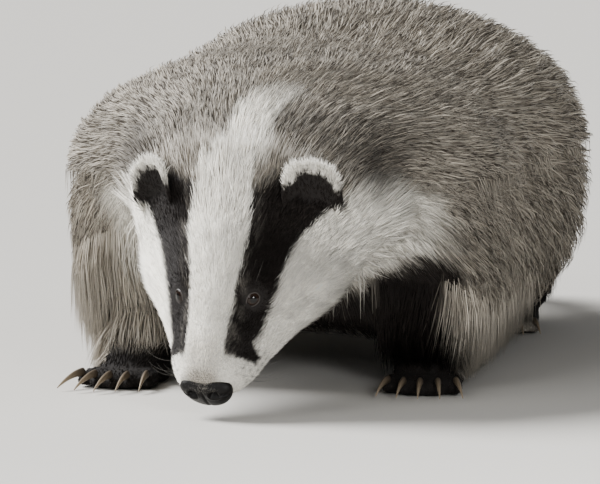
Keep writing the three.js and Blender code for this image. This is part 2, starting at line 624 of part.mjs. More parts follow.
// Materials
const black = new THREE.MeshStandardMaterial({ color: 0x1b1917, roughness: 0.9 });
const white = new THREE.MeshStandardMaterial({ color: 0xd9d4ca, roughness: 0.9 });
const grey = new THREE.MeshStandardMaterial({ color: 0x8b857c, roughness: 0.9 });
const horn = new THREE.MeshStandardMaterial({ color: 0x4b4034, roughness: 0.45 });
const glossy = new THREE.MeshStandardMaterial({ color: 0x0c0a09, roughness: 0.15 });
const damp = new THREE.MeshStandardMaterial({ color: 0x171415, roughness: 0.5 });

function materialFor(name) {
  if (name.startsWith('claw')) return horn;
  if (name.startsWith('eye')) return glossy;
  if (name === 'nose') return damp;
  if (name === 'head') return white;
  if (name.includes('leg') || name.includes('paw') || name.startsWith('ear')) return black;
  return grey;
}

const badger = new THREE.Group();
for (const [name, solid] of Object.entries(pieces)) {
  const { vertProperties, triVerts } = largest(solid).getMesh();
  const geometry = new THREE.BufferGeometry();
  geometry.setAttribute('position', new THREE.BufferAttribute(new Float32Array(vertProperties), 3));
  geometry.setIndex([...triVerts]);
  geometry.computeVertexNormals();
  const mesh = new THREE.Mesh(geometry, materialFor(name));
  mesh.name = name;
  badger.add(mesh);
}

// The origin is on the floor under the middle of the whole.
const box = new THREE.Box3().setFromObject(badger);
badger.position.set(-(box.min.x + box.max.x) / 2, -(box.min.y + box.max.y) / 2, 0);
badger.updateMatrixWorld(true);

export default badger;
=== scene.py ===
# A European badger, life size, standing with its head lowered to sniff the ground.
# The tables are in millimetres, as the solids' own are: +Z up, the head towards -Y, the animal's
# left towards +X. Everything that is made from them is moved to the frame and turned to metres.
import math

import bpy
import numpy as np
from mathutils import Matrix, Vector


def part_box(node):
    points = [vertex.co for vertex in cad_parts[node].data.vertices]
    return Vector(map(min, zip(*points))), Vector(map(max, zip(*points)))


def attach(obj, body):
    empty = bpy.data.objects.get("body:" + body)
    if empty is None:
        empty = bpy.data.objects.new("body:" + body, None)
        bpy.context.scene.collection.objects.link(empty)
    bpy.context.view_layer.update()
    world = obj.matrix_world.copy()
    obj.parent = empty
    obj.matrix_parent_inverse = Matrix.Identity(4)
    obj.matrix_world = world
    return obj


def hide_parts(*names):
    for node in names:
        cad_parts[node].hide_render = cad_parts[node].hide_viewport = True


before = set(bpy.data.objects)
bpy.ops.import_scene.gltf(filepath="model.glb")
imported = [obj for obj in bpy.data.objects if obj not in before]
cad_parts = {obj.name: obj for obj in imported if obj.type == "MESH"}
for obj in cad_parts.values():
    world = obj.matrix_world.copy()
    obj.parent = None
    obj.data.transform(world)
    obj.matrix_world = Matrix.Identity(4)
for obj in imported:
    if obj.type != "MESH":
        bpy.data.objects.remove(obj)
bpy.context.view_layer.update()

rng = np.random.default_rng(417)

# The head's axis starts at the nose tip. Its directions are to the animal's left, back and up.
NOSE_TIP = np.array([-16.0, -150.0, 17.0])
HEAD_TURN = (-8.5, 52.3, 0.6)  # degrees: heading, pitch and roll
# back from the nose tip, half width, height of the widest place, top, chin, how round the top is
HEAD_SECTIONS = np.array([
    [6.5, 11, -2, 6, -11, 2.0],
    [10, 18.5, -3, 11.5, -16, 2.0],
    [16, 23.5, -4, 16, -19, 1.9],
    [30, 30, -5, 21.5, -23, 1.75],
    [46, 38.5, -6, 26.5, -27, 1.55],
    [66, 50, -7, 33, -34, 1.45],
    [86, 60.5, -7, 41, -43, 1.5],
    [106, 69, -5, 48.5, -52, 1.6],
    [128, 78, -3, 54, -59, 1.75],
    [150, 86, -2, 61, -66, 1.9],
])
# x, y, z, heading, lean, half width, up, down, how square the top and the skirt are, coat depth
TRUNK_SECTIONS = np.array([
    [-6, -30, 150, -5, 35, 112, 76, 102, 2.0, 2.6, 16],
    [-9, 6, 150, -3, 14, 149, 88, 140, 2.1, 3.6, 23],
    [-9, 46, 150, -1, 4, 163, 94, 145, 2.1, 4.2, 28],
    [-8, 100, 150, 0, 2, 162, 97, 143, 2.0, 4.2, 30],
    [-8, 175, 150, 0, 0, 162, 101, 140, 2.0, 4.0, 30],
    [-11, 250, 151, 0, 0, 169, 111, 139, 2.05, 4.0, 30],
    [-13, 330, 152, 0, 0, 177, 119, 140, 2.05, 3.8, 30],
    [-14, 405, 153, 0, -2, 172, 116, 134, 2.0, 3.4, 30],
    [-14, 470, 155, 1, -6, 148, 101, 122, 1.9, 2.9, 28],
    [-14, 522, 158, 2, -15, 98, 73, 90, 1.9, 2.4, 25],
    [-13, 550, 160, 3, -20, 46, 38, 44, 2.0, 2.2, 18],
])
BELLY_LIFT = 0.25  # how far the middle of the belly is raised
CORE_SHARE = 0.5  # depth of the skin under the tips of the coat, as a share of the coat's depth
# x, y, z, half width, half depth
TAIL_SECTIONS = np.array([
    [-14, 532, 160, 38, 36],
    [-13, 562, 150, 38, 35],
    [-12, 592, 133, 37, 33],
    [-11, 620, 110, 31, 28],
    [-11, 641, 85, 20, 19],
    [-11, 655, 62, 6, 6],
], float)
TAIL_COAT = 22  # depth of its coat
EYE = {"side": 27, "back": 64.5, "radius": 6.6}
EYES_MIDDLE = np.array([-12.11, -122.78, 80.6])  # between the eyes, before the solids are centred
EAR = {"side": 55.5, "back": 130, "up": 27, "width": 41, "height": 33.5, "thick": 4.0, "cup": 8}
EAR_ACROSS = np.array([0.846, 0.234, -0.478])
EAR_RISE = np.array([0.13, 0.544, 0.829])
EAR_BASE = np.array([EAR["side"], EAR["back"], EAR["up"]])
EAR_FACING = np.cross(EAR_ACROSS, EAR_RISE)
PAD = {"half": 18.8, "up": 8.0, "down": 18.5}
# each foot's place on the floor: x, y and how far its toes turn out, in degrees
FEET = {
    "foreleft": (98, 38, 4),
    "foreright": (-116, 24, -4),
    "hindleft": (88, 414, 6),
    "hindright": (-114, 396, -6),
}
# legs from the top down: inwards and back from the foot, up, half width and half depth
FORELEG = np.array([
    [20, 64, 128, 27, 34],
    [12, 58, 98, 28, 37],
    [5, 43, 66, 27, 31],
    [0, 27, 40, 25, 24],
    [0, 21, 18, 25, 22],
], float)
HINDLEG = np.array([
    [12, -2, 138, 38, 52],
    [5, 6, 104, 38, 51],
    [0, 20, 72, 33, 40],
    [0, 34, 46, 26, 28],
    [0, 37, 18, 24, 24],
], float)
PAWS = {
    "fore": {"length": 68, "heel": 42, "ankle": 21, "half": 27, "tall": 31,
             "reach": 17, "toe": 6.6, "claw": 24},
    "hind": {"length": 94, "heel": 60, "ankle": 37, "half": 25, "tall": 33,
             "reach": 15, "toe": 6.2, "claw": 14},
}
TOES = 5


def centre_of(node):
    """Middle of a solid's box, in millimetres."""
    low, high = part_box(node)
    return 500 * (np.array(low) + np.array(high))


# How far the solids were moved when they were centred over the origin.
SHIFT = (centre_of("eye_left") + centre_of("eye_right")) / 2 - EYES_MIDDLE


def to_frame(points):
    """Points of the tables, in millimetres, as places in the frame, in metres."""
    return (np.asarray(points) + SHIFT) / 1000


def turned(yaw, pitch, roll=0.0):
    """Sideways, backward and upward directions of a section plane turned by these degrees."""
    yaw, pitch, roll = (np.radians(np.asarray(value, float)) for value in (yaw, pitch, roll))
    zero = np.zeros_like(yaw)
    side = np.stack([np.cos(yaw), np.sin(yaw), zero], -1)
    back = np.stack([-np.sin(yaw) * np.cos(pitch), np.cos(yaw) * np.cos(pitch), np.sin(pitch) + zero], -1)
    up = np.cross(side, back)
    tilt_cos, tilt_sin = np.cos(roll)[..., None], np.sin(roll)[..., None]
    return side * tilt_cos + up * tilt_sin, back, up * tilt_cos - side * tilt_sin


HEAD_SIDE, HEAD_BACK, HEAD_UP = turned(*HEAD_TURN)
HEAD_AXES = np.stack([HEAD_SIDE, HEAD_BACK, HEAD_UP])


def from_head(local):
    """Head directions, from the nose tip, as places of the tables."""
    return NOSE_TIP + np.asarray(local) @ HEAD_AXES


def to_head(points):
    """Places of the tables in head directions, from the nose tip."""
    return (np.asarray(points) - NOSE_TIP) @ HEAD_AXES.T


def through(rows, t):
    """A smooth curve (Catmull-Rom) through the rows of a table, at shares t of its length."""
    place = np.clip(t, 0, 1) * (len(rows) - 1)
    i = np.minimum(np.floor(place).astype(int), len(rows) - 2)
    f = (place - i)[..., None]
    a, b, c, d = (rows[np.clip(i + k, 0, len(rows) - 1)] for k in (-1, 0, 1, 2))
    return b + 0.5 * f * (c - a + f * (2 * a - 5 * b + 4 * c - d + f * (3 * (b - c) + d - a)))


def power(value, exponent):
    """A power that keeps the sign."""
    return np.sign(value) * np.abs(value) ** exponent


def bump(distance, width):
    """A bell curve: 1 at no distance, and about a third one width away."""
    return np.exp(-((distance / width) ** 2))


def step(value, low, high):
    """0 below low, 1 above high, and a smooth slope between them."""
    x = np.clip((value - low) / (high - low), 0, 1)
    return x * x * (3 - 2 * x)


def unit(vectors):
    """The same directions, one long."""
    return vectors / np.maximum(np.linalg.norm(vectors, axis=-1, keepdims=True), 1e-9)


def along_of(first, second):
    """Dot product of each pair of rows."""
    return np.einsum("ij,ij->i", first, second)


def grid(first, second):
    """Two rulings as the two coordinates of every crossing."""
    return np.meshgrid(first, second, indexing="ij")


def whole_turn(count):
    """A turn in so many equal steps, without its end."""
    return np.linspace(0, 2 * math.pi, count, endpoint=False)


# Surfaces


def mouth_up(back):
    """Height of the mouth line."""
    return -10.5 - 0.15 * back


def head_relief(side, back, up):
    """Outward swellings of the brow, muzzle, lips and cheeks, and the hollows of the eye and jaw."""
    away = np.abs(side)
    brow = 2.6 * bump(away - 24, 9) * bump(back - 74, 12) * bump(up - 26, 12)
    hollow = -2.4 * bump(away - 24, 9) * bump(back - 54, 11) * bump(up - 15, 12)
    whisker_pad = 2.2 * bump(away - 23, 10) * bump(back - 26, 11) * bump(up + 6, 10)
    cheek = 2.5 * bump(away - 60, 18) * bump(back - 92, 22) * bump(up + 6, 20)
    furrow = -1.4 * bump(away, 7) * bump(back - 84, 24) * bump(up - 36, 16)
    in_mouth = bump(np.maximum(back - 46, 0), 12)
    lip = 1.5 * in_mouth * bump(up - mouth_up(back) - 4, 4)
    jaw = -2.2 * in_mouth * np.clip((mouth_up(back) - up) / 3, 0, 1)
    groove = -1.6 * in_mouth * bump(up - mouth_up(back), 1.1)
    return brow + hollow + whisker_pad + cheek + furrow + lip + jaw + groove


def head_local(t, angle):
    """Head surface, in head directions: each section is two half superellipses that meet at its
    widest place, swollen outwards from the axis by the relief."""
    back, half, mid, top, chin, crest = np.moveaxis(through(HEAD_SECTIONS, t), -1, 0)
    upper = np.sin(angle) > 0
    exponent = 2 / np.where(upper, crest, 2.3)
    tall = np.where(upper, top - mid, mid - chin)
    side = half * power(np.cos(angle), exponent)
    up = mid + tall * power(np.sin(angle), exponent)
    reach = np.maximum(np.hypot(side, up), 1.0)
    scale = 1 + head_relief(side, back, up) / reach
    return np.stack([side * scale, back, up * scale], -1)


def head_surface(t, angle):
    """Head surface, as places of the tables."""
    return from_head(head_local(t, angle))


# The trunk's table starts with two sections of the back of the head, so that the neck grows from it.
HEAD_ROWS = [
    [*from_head([0, back, -3]), HEAD_TURN[0], HEAD_TURN[1], half, up, down, crest, 2.2, 3]
    for back, half, up, down, crest in ((124, 76, 56, 54, 1.75), (148, 85, 63, 63, 1.9))
]
TRUNK = np.vstack([HEAD_ROWS, TRUNK_SECTIONS])


def trunk_coat(t, angle):
    """Depth of the coat: less under the belly."""
    flank = np.clip((np.sin(angle) + 0.95) / 0.5, 0, 1)
    return through(TRUNK, t)[..., 10] * (0.4 + 0.6 * flank)


def trunk_surface(t, angle, inset=0.0):
    """Neck and trunk, so far inside the tips of the coat: a superellipse in each leaning section,
    squarer below, with the middle of the belly raised."""
    columns = np.moveaxis(through(TRUNK, t), -1, 0)
    x, y, z, yaw, lean, half, up, down, crest, skirt, _ = columns
    side_way, _, up_way = turned(yaw, lean)
    upper = np.sin(angle) > 0
    exponent = 2 / np.where(upper, crest, skirt)
    lift = np.where(upper, 0, BELLY_LIFT * np.minimum(skirt - 2, 1) * bump(np.cos(angle), 0.42))
    wide = (half - inset) * power(np.cos(angle), exponent)
    tall = (np.where(upper, up, down) * (1 - lift) - inset) * power(np.sin(angle), exponent)
    return np.stack([x, y, z], -1) + wide[..., None] * side_way + tall[..., None] * up_way


def limb_surface(rows):
    """A tube of oval sections along a path through the rows: x, y, z, half width and half depth."""
    def surface(t, angle, inset=0.0):
        place = through(rows, t)
        before, after = (through(rows, np.clip(t + gap, 0, 1))[..., :3] for gap in (-0.02, 0.02))
        ahead = unit(after - before)
        side = unit(np.array([1.0, 0, 0]) - ahead * ahead[..., :1])
        front = np.cross(side, ahead)
        wide = (place[..., 3] - inset) * np.cos(angle)
        deep = (place[..., 4] - inset) * np.sin(angle)
        return place[..., :3] + side * wide[..., None] + front * deep[..., None]
    return surface


tail_surface = limb_surface(TAIL_SECTIONS)


def surface_axes(surface, t, angle):
    """Run of a surface per unit of t and per radian, and its outward direction."""
    small = 0.003
    along = (surface(t + small, angle) - surface(t - small, angle)) / (2 * small)
    across = (surface(t, angle + small) - surface(t, angle - small)) / (2 * small)
    return along, across, unit(np.cross(along, across))


# Meshes


def new_piece(name, points, faces):
    """A mesh object from points in metres and triangles or quads, as whole arrays."""
    faces = np.asarray(faces, np.int32)
    mesh = bpy.data.meshes.new(name)
    mesh.vertices.add(len(points))
    mesh.vertices.foreach_set("co", np.asarray(points, np.float32).ravel())
    mesh.loops.add(faces.size)
    mesh.loops.foreach_set("vertex_index", faces.ravel())
    mesh.polygons.add(len(faces))
    mesh.polygons.foreach_set("loop_start", np.arange(0, faces.size, faces.shape[1], dtype=np.int32))
    mesh.update(calc_edges=True)
    mesh.shade_smooth()
    piece = bpy.data.objects.new(name, mesh)
    bpy.context.scene.collection.objects.link(piece)
    return piece


def outward(points, tris, middle):
    """Triangles turned so that they face away from a middle, by the sign of the volume they hold."""
    p, q, r = (points[tris[:, n]] - middle for n in range(3))
    return tris[:, ::-1] if np.einsum("ij,ij->", p, np.cross(q, r)) < 0 else tris


def closed_tube(points, first, last):
    """Triangles of rings of points (rings, around, 3), closed on a point at each end, facing outwards."""
    rings, around, _ = points.shape
    ring, k = grid(np.arange(rings - 1), np.arange(around))
    a = (ring * around + k).ravel()
    b = (ring * around + (k + 1) % around).ravel()
    c, d = a + around, b + around
    sides = np.vstack([np.column_stack([a, b, d]), np.column_stack([a, d, c])])
    k = np.arange(around)
    count = rings * around
    start = np.column_stack([np.full(around, count), (k + 1) % around, k])
    end_ring = (rings - 1) * around
    end = np.column_stack([np.full(around, count + 1), end_ring + k, end_ring + (k + 1) % around])
    verts = np.vstack([points.reshape(-1, 3), first, last])
    tris = np.vstack([sides, start, end])
    return verts, outward(verts, tris, np.zeros(3))


def ball_points(shape, around, rings):
    """Points of a unit sphere, moved by shape(x, y, z), as closed_tube takes them. Poles are on z."""
    theta = np.linspace(0, math.pi, rings + 1)[1:-1, None]
    phi = whole_turn(around)[None, :]
    x, y, z = np.sin(theta) * np.cos(phi), np.sin(theta) * np.sin(phi), np.cos(theta) + 0 * phi
    first, last = (shape(np.array(0.0), np.array(0.0), np.array(sign)) for sign in (1.0, -1.0))
    return shape(x, y, z), first, last


def together(*solids):
    """Several lists of points and triangles as one."""
    verts, tris, count = [], [], 0
    for points, faces in solids:
        verts.append(points)
        tris.append(faces + count)
        count += len(points)
    return np.vstack(verts), np.vstack(tris)


def settle(piece):
    """Replaces a piece's mesh by what its modifiers make of it."""
    graph = bpy.context.evaluated_depsgraph_get()
    mesh = bpy.data.meshes.new_from_object(piece.evaluated_get(graph))
    piece.modifiers.clear()
    piece.data = mesh
    mesh.name = piece.name
    return piece


def mesh_points(piece):
    """Places and outward directions of a mesh's points."""
    co = np.empty(len(piece.data.vertices) * 3, np.float32)
    normals = np.empty_like(co)
    piece.data.vertices.foreach_get("co", co)
    piece.data.vertex_normals.foreach_get("vector", normals)
    return co.reshape(-1, 3).astype(float), normals.reshape(-1, 3).astype(float)


def as_piece(name, solids):
    """One piece from lists of points and triangles in the tables' frame."""
    points, faces = together(*solids)
    return new_piece(name, to_frame(points), faces)


def paint(piece, layer_name, colour):
    """Gives each point of a piece its own linear colour, which its material reads."""
    rgba = np.ones((len(colour), 4), np.float32)
    rgba[:, :3] = colour
    layer = piece.data.color_attributes.new(layer_name, "FLOAT_COLOR", "POINT")
    layer.data.foreach_set("color", rgba.ravel())


def dress(piece, made, slot, *replaced):
    """Gives a piece its material and body, and hides the solids that it stands for. slot is not used."""
    piece.data.materials.append(made)
    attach(piece, "root")
    if replaced:
        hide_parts(*replaced)


# Colours and markings


def linear(colour):
    """The linear value of an sRGB hex colour."""
    srgb = np.array([int(colour[i:i + 2], 16) for i in (1, 3, 5)]) / 255
    return np.where(srgb <= 0.04045, srgb / 12.92, ((srgb + 0.055) / 1.055) ** 2.4)


WHITE_HAIR = linear("#f6f2e8")
BLACK_HAIR = linear("#1b1715")
PALE_HAIR = linear("#cbc2b3")
DARK_BAND = linear("#2f2822")
TIP_HAIR = linear("#e9e2d6")

# distances back from the nose tip, and the edges of the black stripe there
STRIPE = np.array([
    [21, 14.5, 15.5], [23.5, 14.0, 19.0], [26, 13.8, 27.0], [28.5, 13.8, 34.0], [31, 13.9, 35.0],
    [34, 14.0, 31.0], [38, 14.2, 29.4], [45, 14.5, 32.0], [69, 16.3, 38.4], [85, 18.5, 41.5],
    [101, 20.6, 46.5], [120, 20.4, 57.0], [138, 19.8, 70.0], [146, 19.5, 74.0], [175, 19.0, 78.0],
])
# directions and starts of the waves that all noise is a sum of
WAVES = rng.normal(size=(10, 3))
PHASES = rng.uniform(0, 2 * math.pi, 10)


def ripple(points, size):
    """Smooth noise of about -1 to 1, with swells this many millimetres apart: a sum of sine waves."""
    swell = np.sin(np.asarray(points) @ (WAVES * 2.2 / size).T + PHASES)
    return swell.sum(-1) / 3.2


def markings(points, out):
    """Shares of white, black and grey hair at places of the tables' frame.

    In head directions, black bands run from behind the muzzle over the eyes to the ears, between
    a white middle and white cheeks, over a black throat. The white of the cheeks runs on along the
    sides of the neck. Behind that the coat is grey, with a black chest and belly. A painted shadow
    darkens the neck behind each ear, and the black front stops short on the animal's sunlit right,
    whose shoulder's front is painted pale: painted light."""
    side, back, up = np.moveaxis(to_head(points), -1, 0)
    x, y, z = np.moveaxis(points, -1, 0)
    rough = ripple(points, 16)
    away = np.abs(side)
    inner = np.interp(back, STRIPE[:, 0], STRIPE[:, 1])
    outer = np.interp(back, STRIPE[:, 0], STRIPE[:, 2])
    band = step(away, inner - 1.0, inner + 1.0) * (1 - step(away, outer - 1.4, outer + 1.4))
    crown_line = np.interp(away, [18, 35, 55, 80], [130, 144, 156, 156]) + 2 * rough
    band = band * step(back + 1.6 * ripple(points, 4), 19, 26) * step(up + ripple(points, 5), -7, -2)
    band = band * (1 - step(back, crown_line - 7, crown_line + 9))
    throat_line = np.interp(back, [0, 20, 62, 90, 120, 150], [-15, -17, -23, -27, -32, -38])
    throat = 1 - step(up + rough, throat_line - 3, throat_line + 3)
    bridge = (0.5 + 0.4 * (1 - step(back, 9, 15))) * (1 - step(back, 22, 40))
    bridge = bridge * (1 - step(away, 6, 17)) * step(up, 2, 6)
    crown = step(back, crown_line - 7, crown_line + 9) * step(away, inner - 3, inner + 2) * step(up, 8, 18)
    streaks = ripple(np.stack([side, 0.25 * back, up], -1), 2.6)
    strands = 0.16 * step(streaks, -0.2, 1.0) * (1 - step(away - inner, 3, 10))
    head_black = np.maximum(band, throat)
    # the neck: a white middle that bends to the left, and white sides under the grey of the nape
    centre = np.interp(back, [130, 160, 192, 212], [0, 11, 9, 20])
    half = np.interp(back, [108, 146, 162], [20.8, 19.5, 13.5])
    middle = (1 - step(np.abs(side - centre), half - 3, half + 4))
    middle = middle * (1 - step(back + 3 * rough, 185, 222)) * step(up, 10, 25)
    low_edge = np.interp(np.abs(x + 5), [40, 70, 105], [62, 84, 104])
    sides = step(z + 3 * rough, low_edge - 8, low_edge + 8) * (1 - step(z + 4 * rough, 136, 158))
    sides = sides * (1 - step(np.abs(x + 3) + 4 * rough, 100, 126)) * (1 - step(y, 0, 30))
    under = 1 - step(z + 2 * rough, low_edge - 8, low_edge + 8)
    # black chest and forelegs' front: it stops short on the animal's right, where the sun falls, so the
    # right shoulder's front is painted pale: painted light
    ahead = step(x, -88, -66) * (1 - step(x + 2 * rough, 112, 124)) * (1 - step(y, 40, 62))
    belly = step(-out[..., 2], 0.75, 0.92) * (1 - step(z, 36, 60))
    neck_black_and_shadow = np.maximum(under * ahead, belly)
    neck_white = np.clip(np.maximum(middle, sides), 0, 1) * (1 - neck_black_and_shadow)
    # a dark patch on the neck behind each ear, drawn as black hair: painted shadow of the ear
    painted_ear_shadow = 0.75 * bump(np.hypot(np.abs(x + 3) - 82, np.hypot(y + 72, z - 164) * 0.8), 24)
    nape = 0.3 * (1 - step(back, 165, 225)) * step(up, 0, 20)
    neck_black_and_shadow = np.maximum(neck_black_and_shadow, np.maximum(painted_ear_shadow, nape) * (1 - neck_white))
    on_neck = np.maximum(step(back + 0.1 * away, 143, 157), step(away, 92, 104))
    face_grey = np.maximum(np.maximum(bridge, crown * (1 - throat)), strands * band)
    head_black = head_black * (1 - np.where(band > throat, strands, 0))
    head_black = np.maximum(head_black, 0.34 * crown)
    face_grey = np.minimum(face_grey, 1 - head_black)
    black = head_black * (1 - on_neck) + neck_black_and_shadow * on_neck
    grey = face_grey * (1 - on_neck) + np.clip(1 - neck_black_and_shadow - neck_white, 0, 1) * on_neck
    white = np.clip(1 - black - grey, 0, 1)
    return np.stack([white, black, grey], -1)


def hair_colours(marks, share, shade, band):
    """Colour along a hair, at shares of its length: grey hair is pale, dark, then white at its tip.
    band is how plain each hair's dark part is."""
    share = share[..., None]
    dark = step(share, 0.25, 0.66) * (1 - step(share, 0.74, 0.96)) * band[..., None]
    grey = PALE_HAIR * (1 - dark) + DARK_BAND * dark
    grey = grey + (TIP_HAIR - grey) * step(share, 0.78, 1.0)
    white = WHITE_HAIR * (0.88 + 0.12 * share)
    black = BLACK_HAIR * (1 + 0.4 * share + 1.6 * (band[..., None] < 0.08) * share)
    mix = marks[..., 0:1] * white + marks[..., 1:2] * black + marks[..., 2:3] * grey
    return mix * shade[..., None]


# Fur

DOWN = np.array([0.0, 0.0, -1.0])
# where the rings of a guard hair stand: at its root, its dark band and its tip
SHARES = (0.0, 0.70, 1.0)
PATCH = 0.003  # side of a hair's patch on the bake map
MAP_EDGE, MAP_SPAN = 0.002, 0.992  # where the patches stand on it
TAIL_MARKS = (0.06, 0.14, 0.8)  # shares of white, black and grey hair


def fur_piece(name, spine, out, width, marks, place, slot, *, shares, shade=0.18, tones=1.0):
    """Hair as thin closed spikes, as one mesh.

    spine: points of each hair from root to tip (hairs, points, 3) in the tables' frame, at shares of
    its length. Three points stand round each spine point but the last: two to the sides and one
    outwards, drawn in towards the tip. place: the root's place on the skin's unwrap, where the hair is
    a patch of the bake map. shade: how far the tones of the hairs differ."""
    hairs, count, _ = spine.shape
    share = np.array(shares)
    ahead = unit(np.diff(spine, axis=1))
    side = unit(np.cross(ahead, out[:, None, :]))
    lift = unit(np.cross(side, ahead))
    slim = (0.75 + 0.8 * share - 1.4 * share ** 2)[:-1]
    wide = np.broadcast_to(width, hairs)[:, None, None] * slim[None, :, None]
    ring = spine[:, :-1]
    corners = np.stack([ring + side * wide, ring - side * wide, ring + lift * wide * 0.9], 2)
    points = np.concatenate([corners.reshape(hairs, -1, 3), spine[:, -1:]], 1)
    last = 3 * (count - 2)
    size = last + 4
    own = [[0, 2, 1]]
    for k in range(last):
        a, b = k, k - k % 3 + (k + 1) % 3
        own += [[a, b, b + 3], [a, b + 3, a + 3]]
    own += [[last + k, last + (k + 1) % 3, size - 1] for k in range(3)]
    tris = (np.array(own)[None] + size * np.arange(hairs)[:, None, None]).reshape(-1, 3)
    piece = new_piece(name, to_frame(points.reshape(-1, 3)), tris)
    along = np.append(np.repeat(share[:-1], 3), 1.0)
    tone = (1 + shade * rng.uniform(-1, 1, hairs)) * tones
    band = np.clip(rng.uniform(0.1, 1.3, hairs), 0, 1)
    marks = np.broadcast_to(marks, (hairs, 3))
    colour = hair_colours(marks[:, None], along, tone[:, None], band[:, None])
    paint(piece, "coat_colour", colour.reshape(-1, 3))
    patch = PATCH * np.stack([np.append(np.tile([0, 1.0, 0.5], count - 1), 0.5), along], -1)
    uv = (MAP_EDGE + MAP_SPAN * np.clip(place, 0, 1))[:, None, :] + patch[None]
    layer = piece.data.uv_layers.new(name="OFBake")
    layer.data.foreach_set("uv", uv.reshape(-1, 2)[tris.ravel()].astype(np.float32).ravel())
    dress(piece, HAIR, slot)
    return piece


def lying(way, out):
    """Directions laid flat on a surface that faces out."""
    return unit(way - out * along_of(way, out)[:, None])


def scatter(surface, t_range, count, weight):
    """Random places on a surface of share and angle, as dense as its area times weight(t, angle)."""
    edges = np.linspace(*t_range, 161), np.linspace(0, 2 * math.pi, 241)
    t, angle = grid(*((edge[1:] + edge[:-1]) / 2 for edge in edges))
    along, across, _ = surface_axes(surface, t, angle)
    area = np.linalg.norm(np.cross(along, across), axis=-1) * weight(t, angle)
    chosen = rng.choice(area.size, count, p=(area / area.sum()).ravel())
    cells = np.unravel_index(chosen, area.shape)
    return [edge[i] + (edge[i + 1] - edge[i]) * rng.random(count) for edge, i in zip(edges, cells)]


def stride(along, across, way):
    """Steps in share and angle that move by the vector way along a surface with these runs."""
    aa, ac, cc = along_of(along, along), along_of(along, across), along_of(across, across)
    wa, wc = along_of(way, along), along_of(way, across)
    whole = np.maximum(aa * cc - ac * ac, 1.0)
    return (wa * cc - wc * ac) / whole, (wc * aa - wa * ac) / whole


def sweep(surface, t, angle, length, flow, insets, shares, gather, jitter):
    """Hair that lies along a surface: it follows flow(along, out, place), rises from the first to the
    last inset and is drawn by gather, a step in share and angle, towards the tip of its clump."""
    spine = []
    for k, share in enumerate(shares):
        pull = share ** 2
        here_t = np.clip(t + pull * gather[0], 0.0, 0.995)
        here_angle = angle + pull * gather[1]
        spine.append(surface(here_t, here_angle, insets[k]))
        if k + 1 < len(shares):
            along, across, out = surface_axes(surface, np.clip(here_t, 0.003, 0.985), here_angle)
            way = flow(unit(along), out, spine[-1]) + jitter[:, None] * unit(across)
            way = lying(way, out)
            if k == 0:
                root_out = out
            dt, da = stride(along, across, way * (length * (shares[k + 1] - share))[:, None])
            t, angle = t + dt, angle + da
    return np.stack(spine, 1), root_out


def clumps(t, angle, cell_t, cell_angle):
    """Steps from each place to the middle of its clump, and a number from -1 to 1 for each clump: the
    cells of a warped ruling, each with numbers of its own from the end digits of a sine."""
    warp = 0.35 * np.sin(angle * 23 + t * 90)
    i = np.floor(t / cell_t + warp)
    k = np.floor(angle / cell_angle + 0.5 * (i % 2) + 0.35 * np.sin(t * 170))
    mixed = np.sin(i * 127.1 + k * 311.7) * 43758.5453
    other = np.sin(i * 269.5 + k * 183.3) * 28001.83
    mixed, other = mixed - np.floor(mixed), other - np.floor(other)
    to_t = (i + 0.5 - warp + 0.5 * (mixed - 0.5)) * cell_t - t
    shift = 0.5 * (other - 0.5)
    to_angle = (k + 0.5 - 0.5 * (i % 2) - 0.35 * np.sin(t * 170) + shift) * cell_angle - angle
    return to_t, to_angle, 2 * mixed - 1


def unrolled(t, angle):
    """Place on the unwrap of a tube: round it, and along it."""
    return np.stack([np.mod(angle, 2 * math.pi) / (2 * math.pi), t], -1)


def turn_share(up, side):
    """Share of a turn at which places stand round an axis that runs back."""
    return np.arctan2(up, side) / (2 * math.pi) + 0.5


def shortened(surface, t, angle, length, end):
    """Lengths that stay short of an end of a surface, but not under 8 mm."""
    run = np.linalg.norm(surface_axes(surface, t, angle)[0], axis=-1)
    return np.minimum(length, np.maximum((end - t) * run, 8))


def trunk_inset(t, angle):
    """Depth of the trunk's skin under the tips of its coat."""
    return CORE_SHARE * trunk_coat(t, angle)


def tail_inset(t, angle):
    """Depth of the tail's skin under the tips of its coat: less towards the end."""
    return CORE_SHARE * TAIL_COAT * (1 - 0.6 * np.clip(t / 0.84, 0, 1) ** 4)


def trunk_density(t, angle):
    """Under the belly, where it isn't seen, the coat is thinner."""
    return 0.25 + 0.75 * step(np.sin(angle), -0.97, -0.8)


def tail_density(t, angle):
    """The coat is denser where the tail leaves the trunk."""
    return 1.0 + 0.8 * (t < 0.12)


def guard_length(t, angle):
    """Longest on the flanks, short on the nape, the throat and under the belly."""
    below = -np.sin(angle)
    throat = 0.8 * step(below, -0.1, 0.4) * (1 - step(t, 0.17, 0.24))
    low = np.maximum(step(below, 0.75, 0.98), throat)
    return np.interp(t, [0.06, 0.12, 0.2, 0.3, 0.9, 1.0], [22, 30, 38, 48, 56, 44]) * (1 - 0.45 * low)


def trunk_flow(along, out, place):
    """Hair runs back along the trunk and falls: the more, the lower it grows."""
    low = np.clip((165 - place[:, 2]) / 110, 0, 1)
    hangs = np.where(place[:, 0] < -60, 1.0, step(100 - place[:, 2], 0, 30))
    front = step(-out[:, 1], 0.3, 0.7) * low * hangs
    low = low * np.where(out[:, 1] < -0.3, 0.25 + 0.75 * hangs, 1.0)
    back = (1 - 0.35 * low) * (1 - 0.6 * front)
    way = along * back[:, None] + DOWN * (0.25 + 1.0 * low + 1.2 * front)[:, None]
    return way + 0.16 * ripple(place, 38)[:, None] * np.cross(out, along)


def tail_flow(along, out, place):
    """Hair runs along the tail and falls a little."""
    return along + 0.25 * DOWN


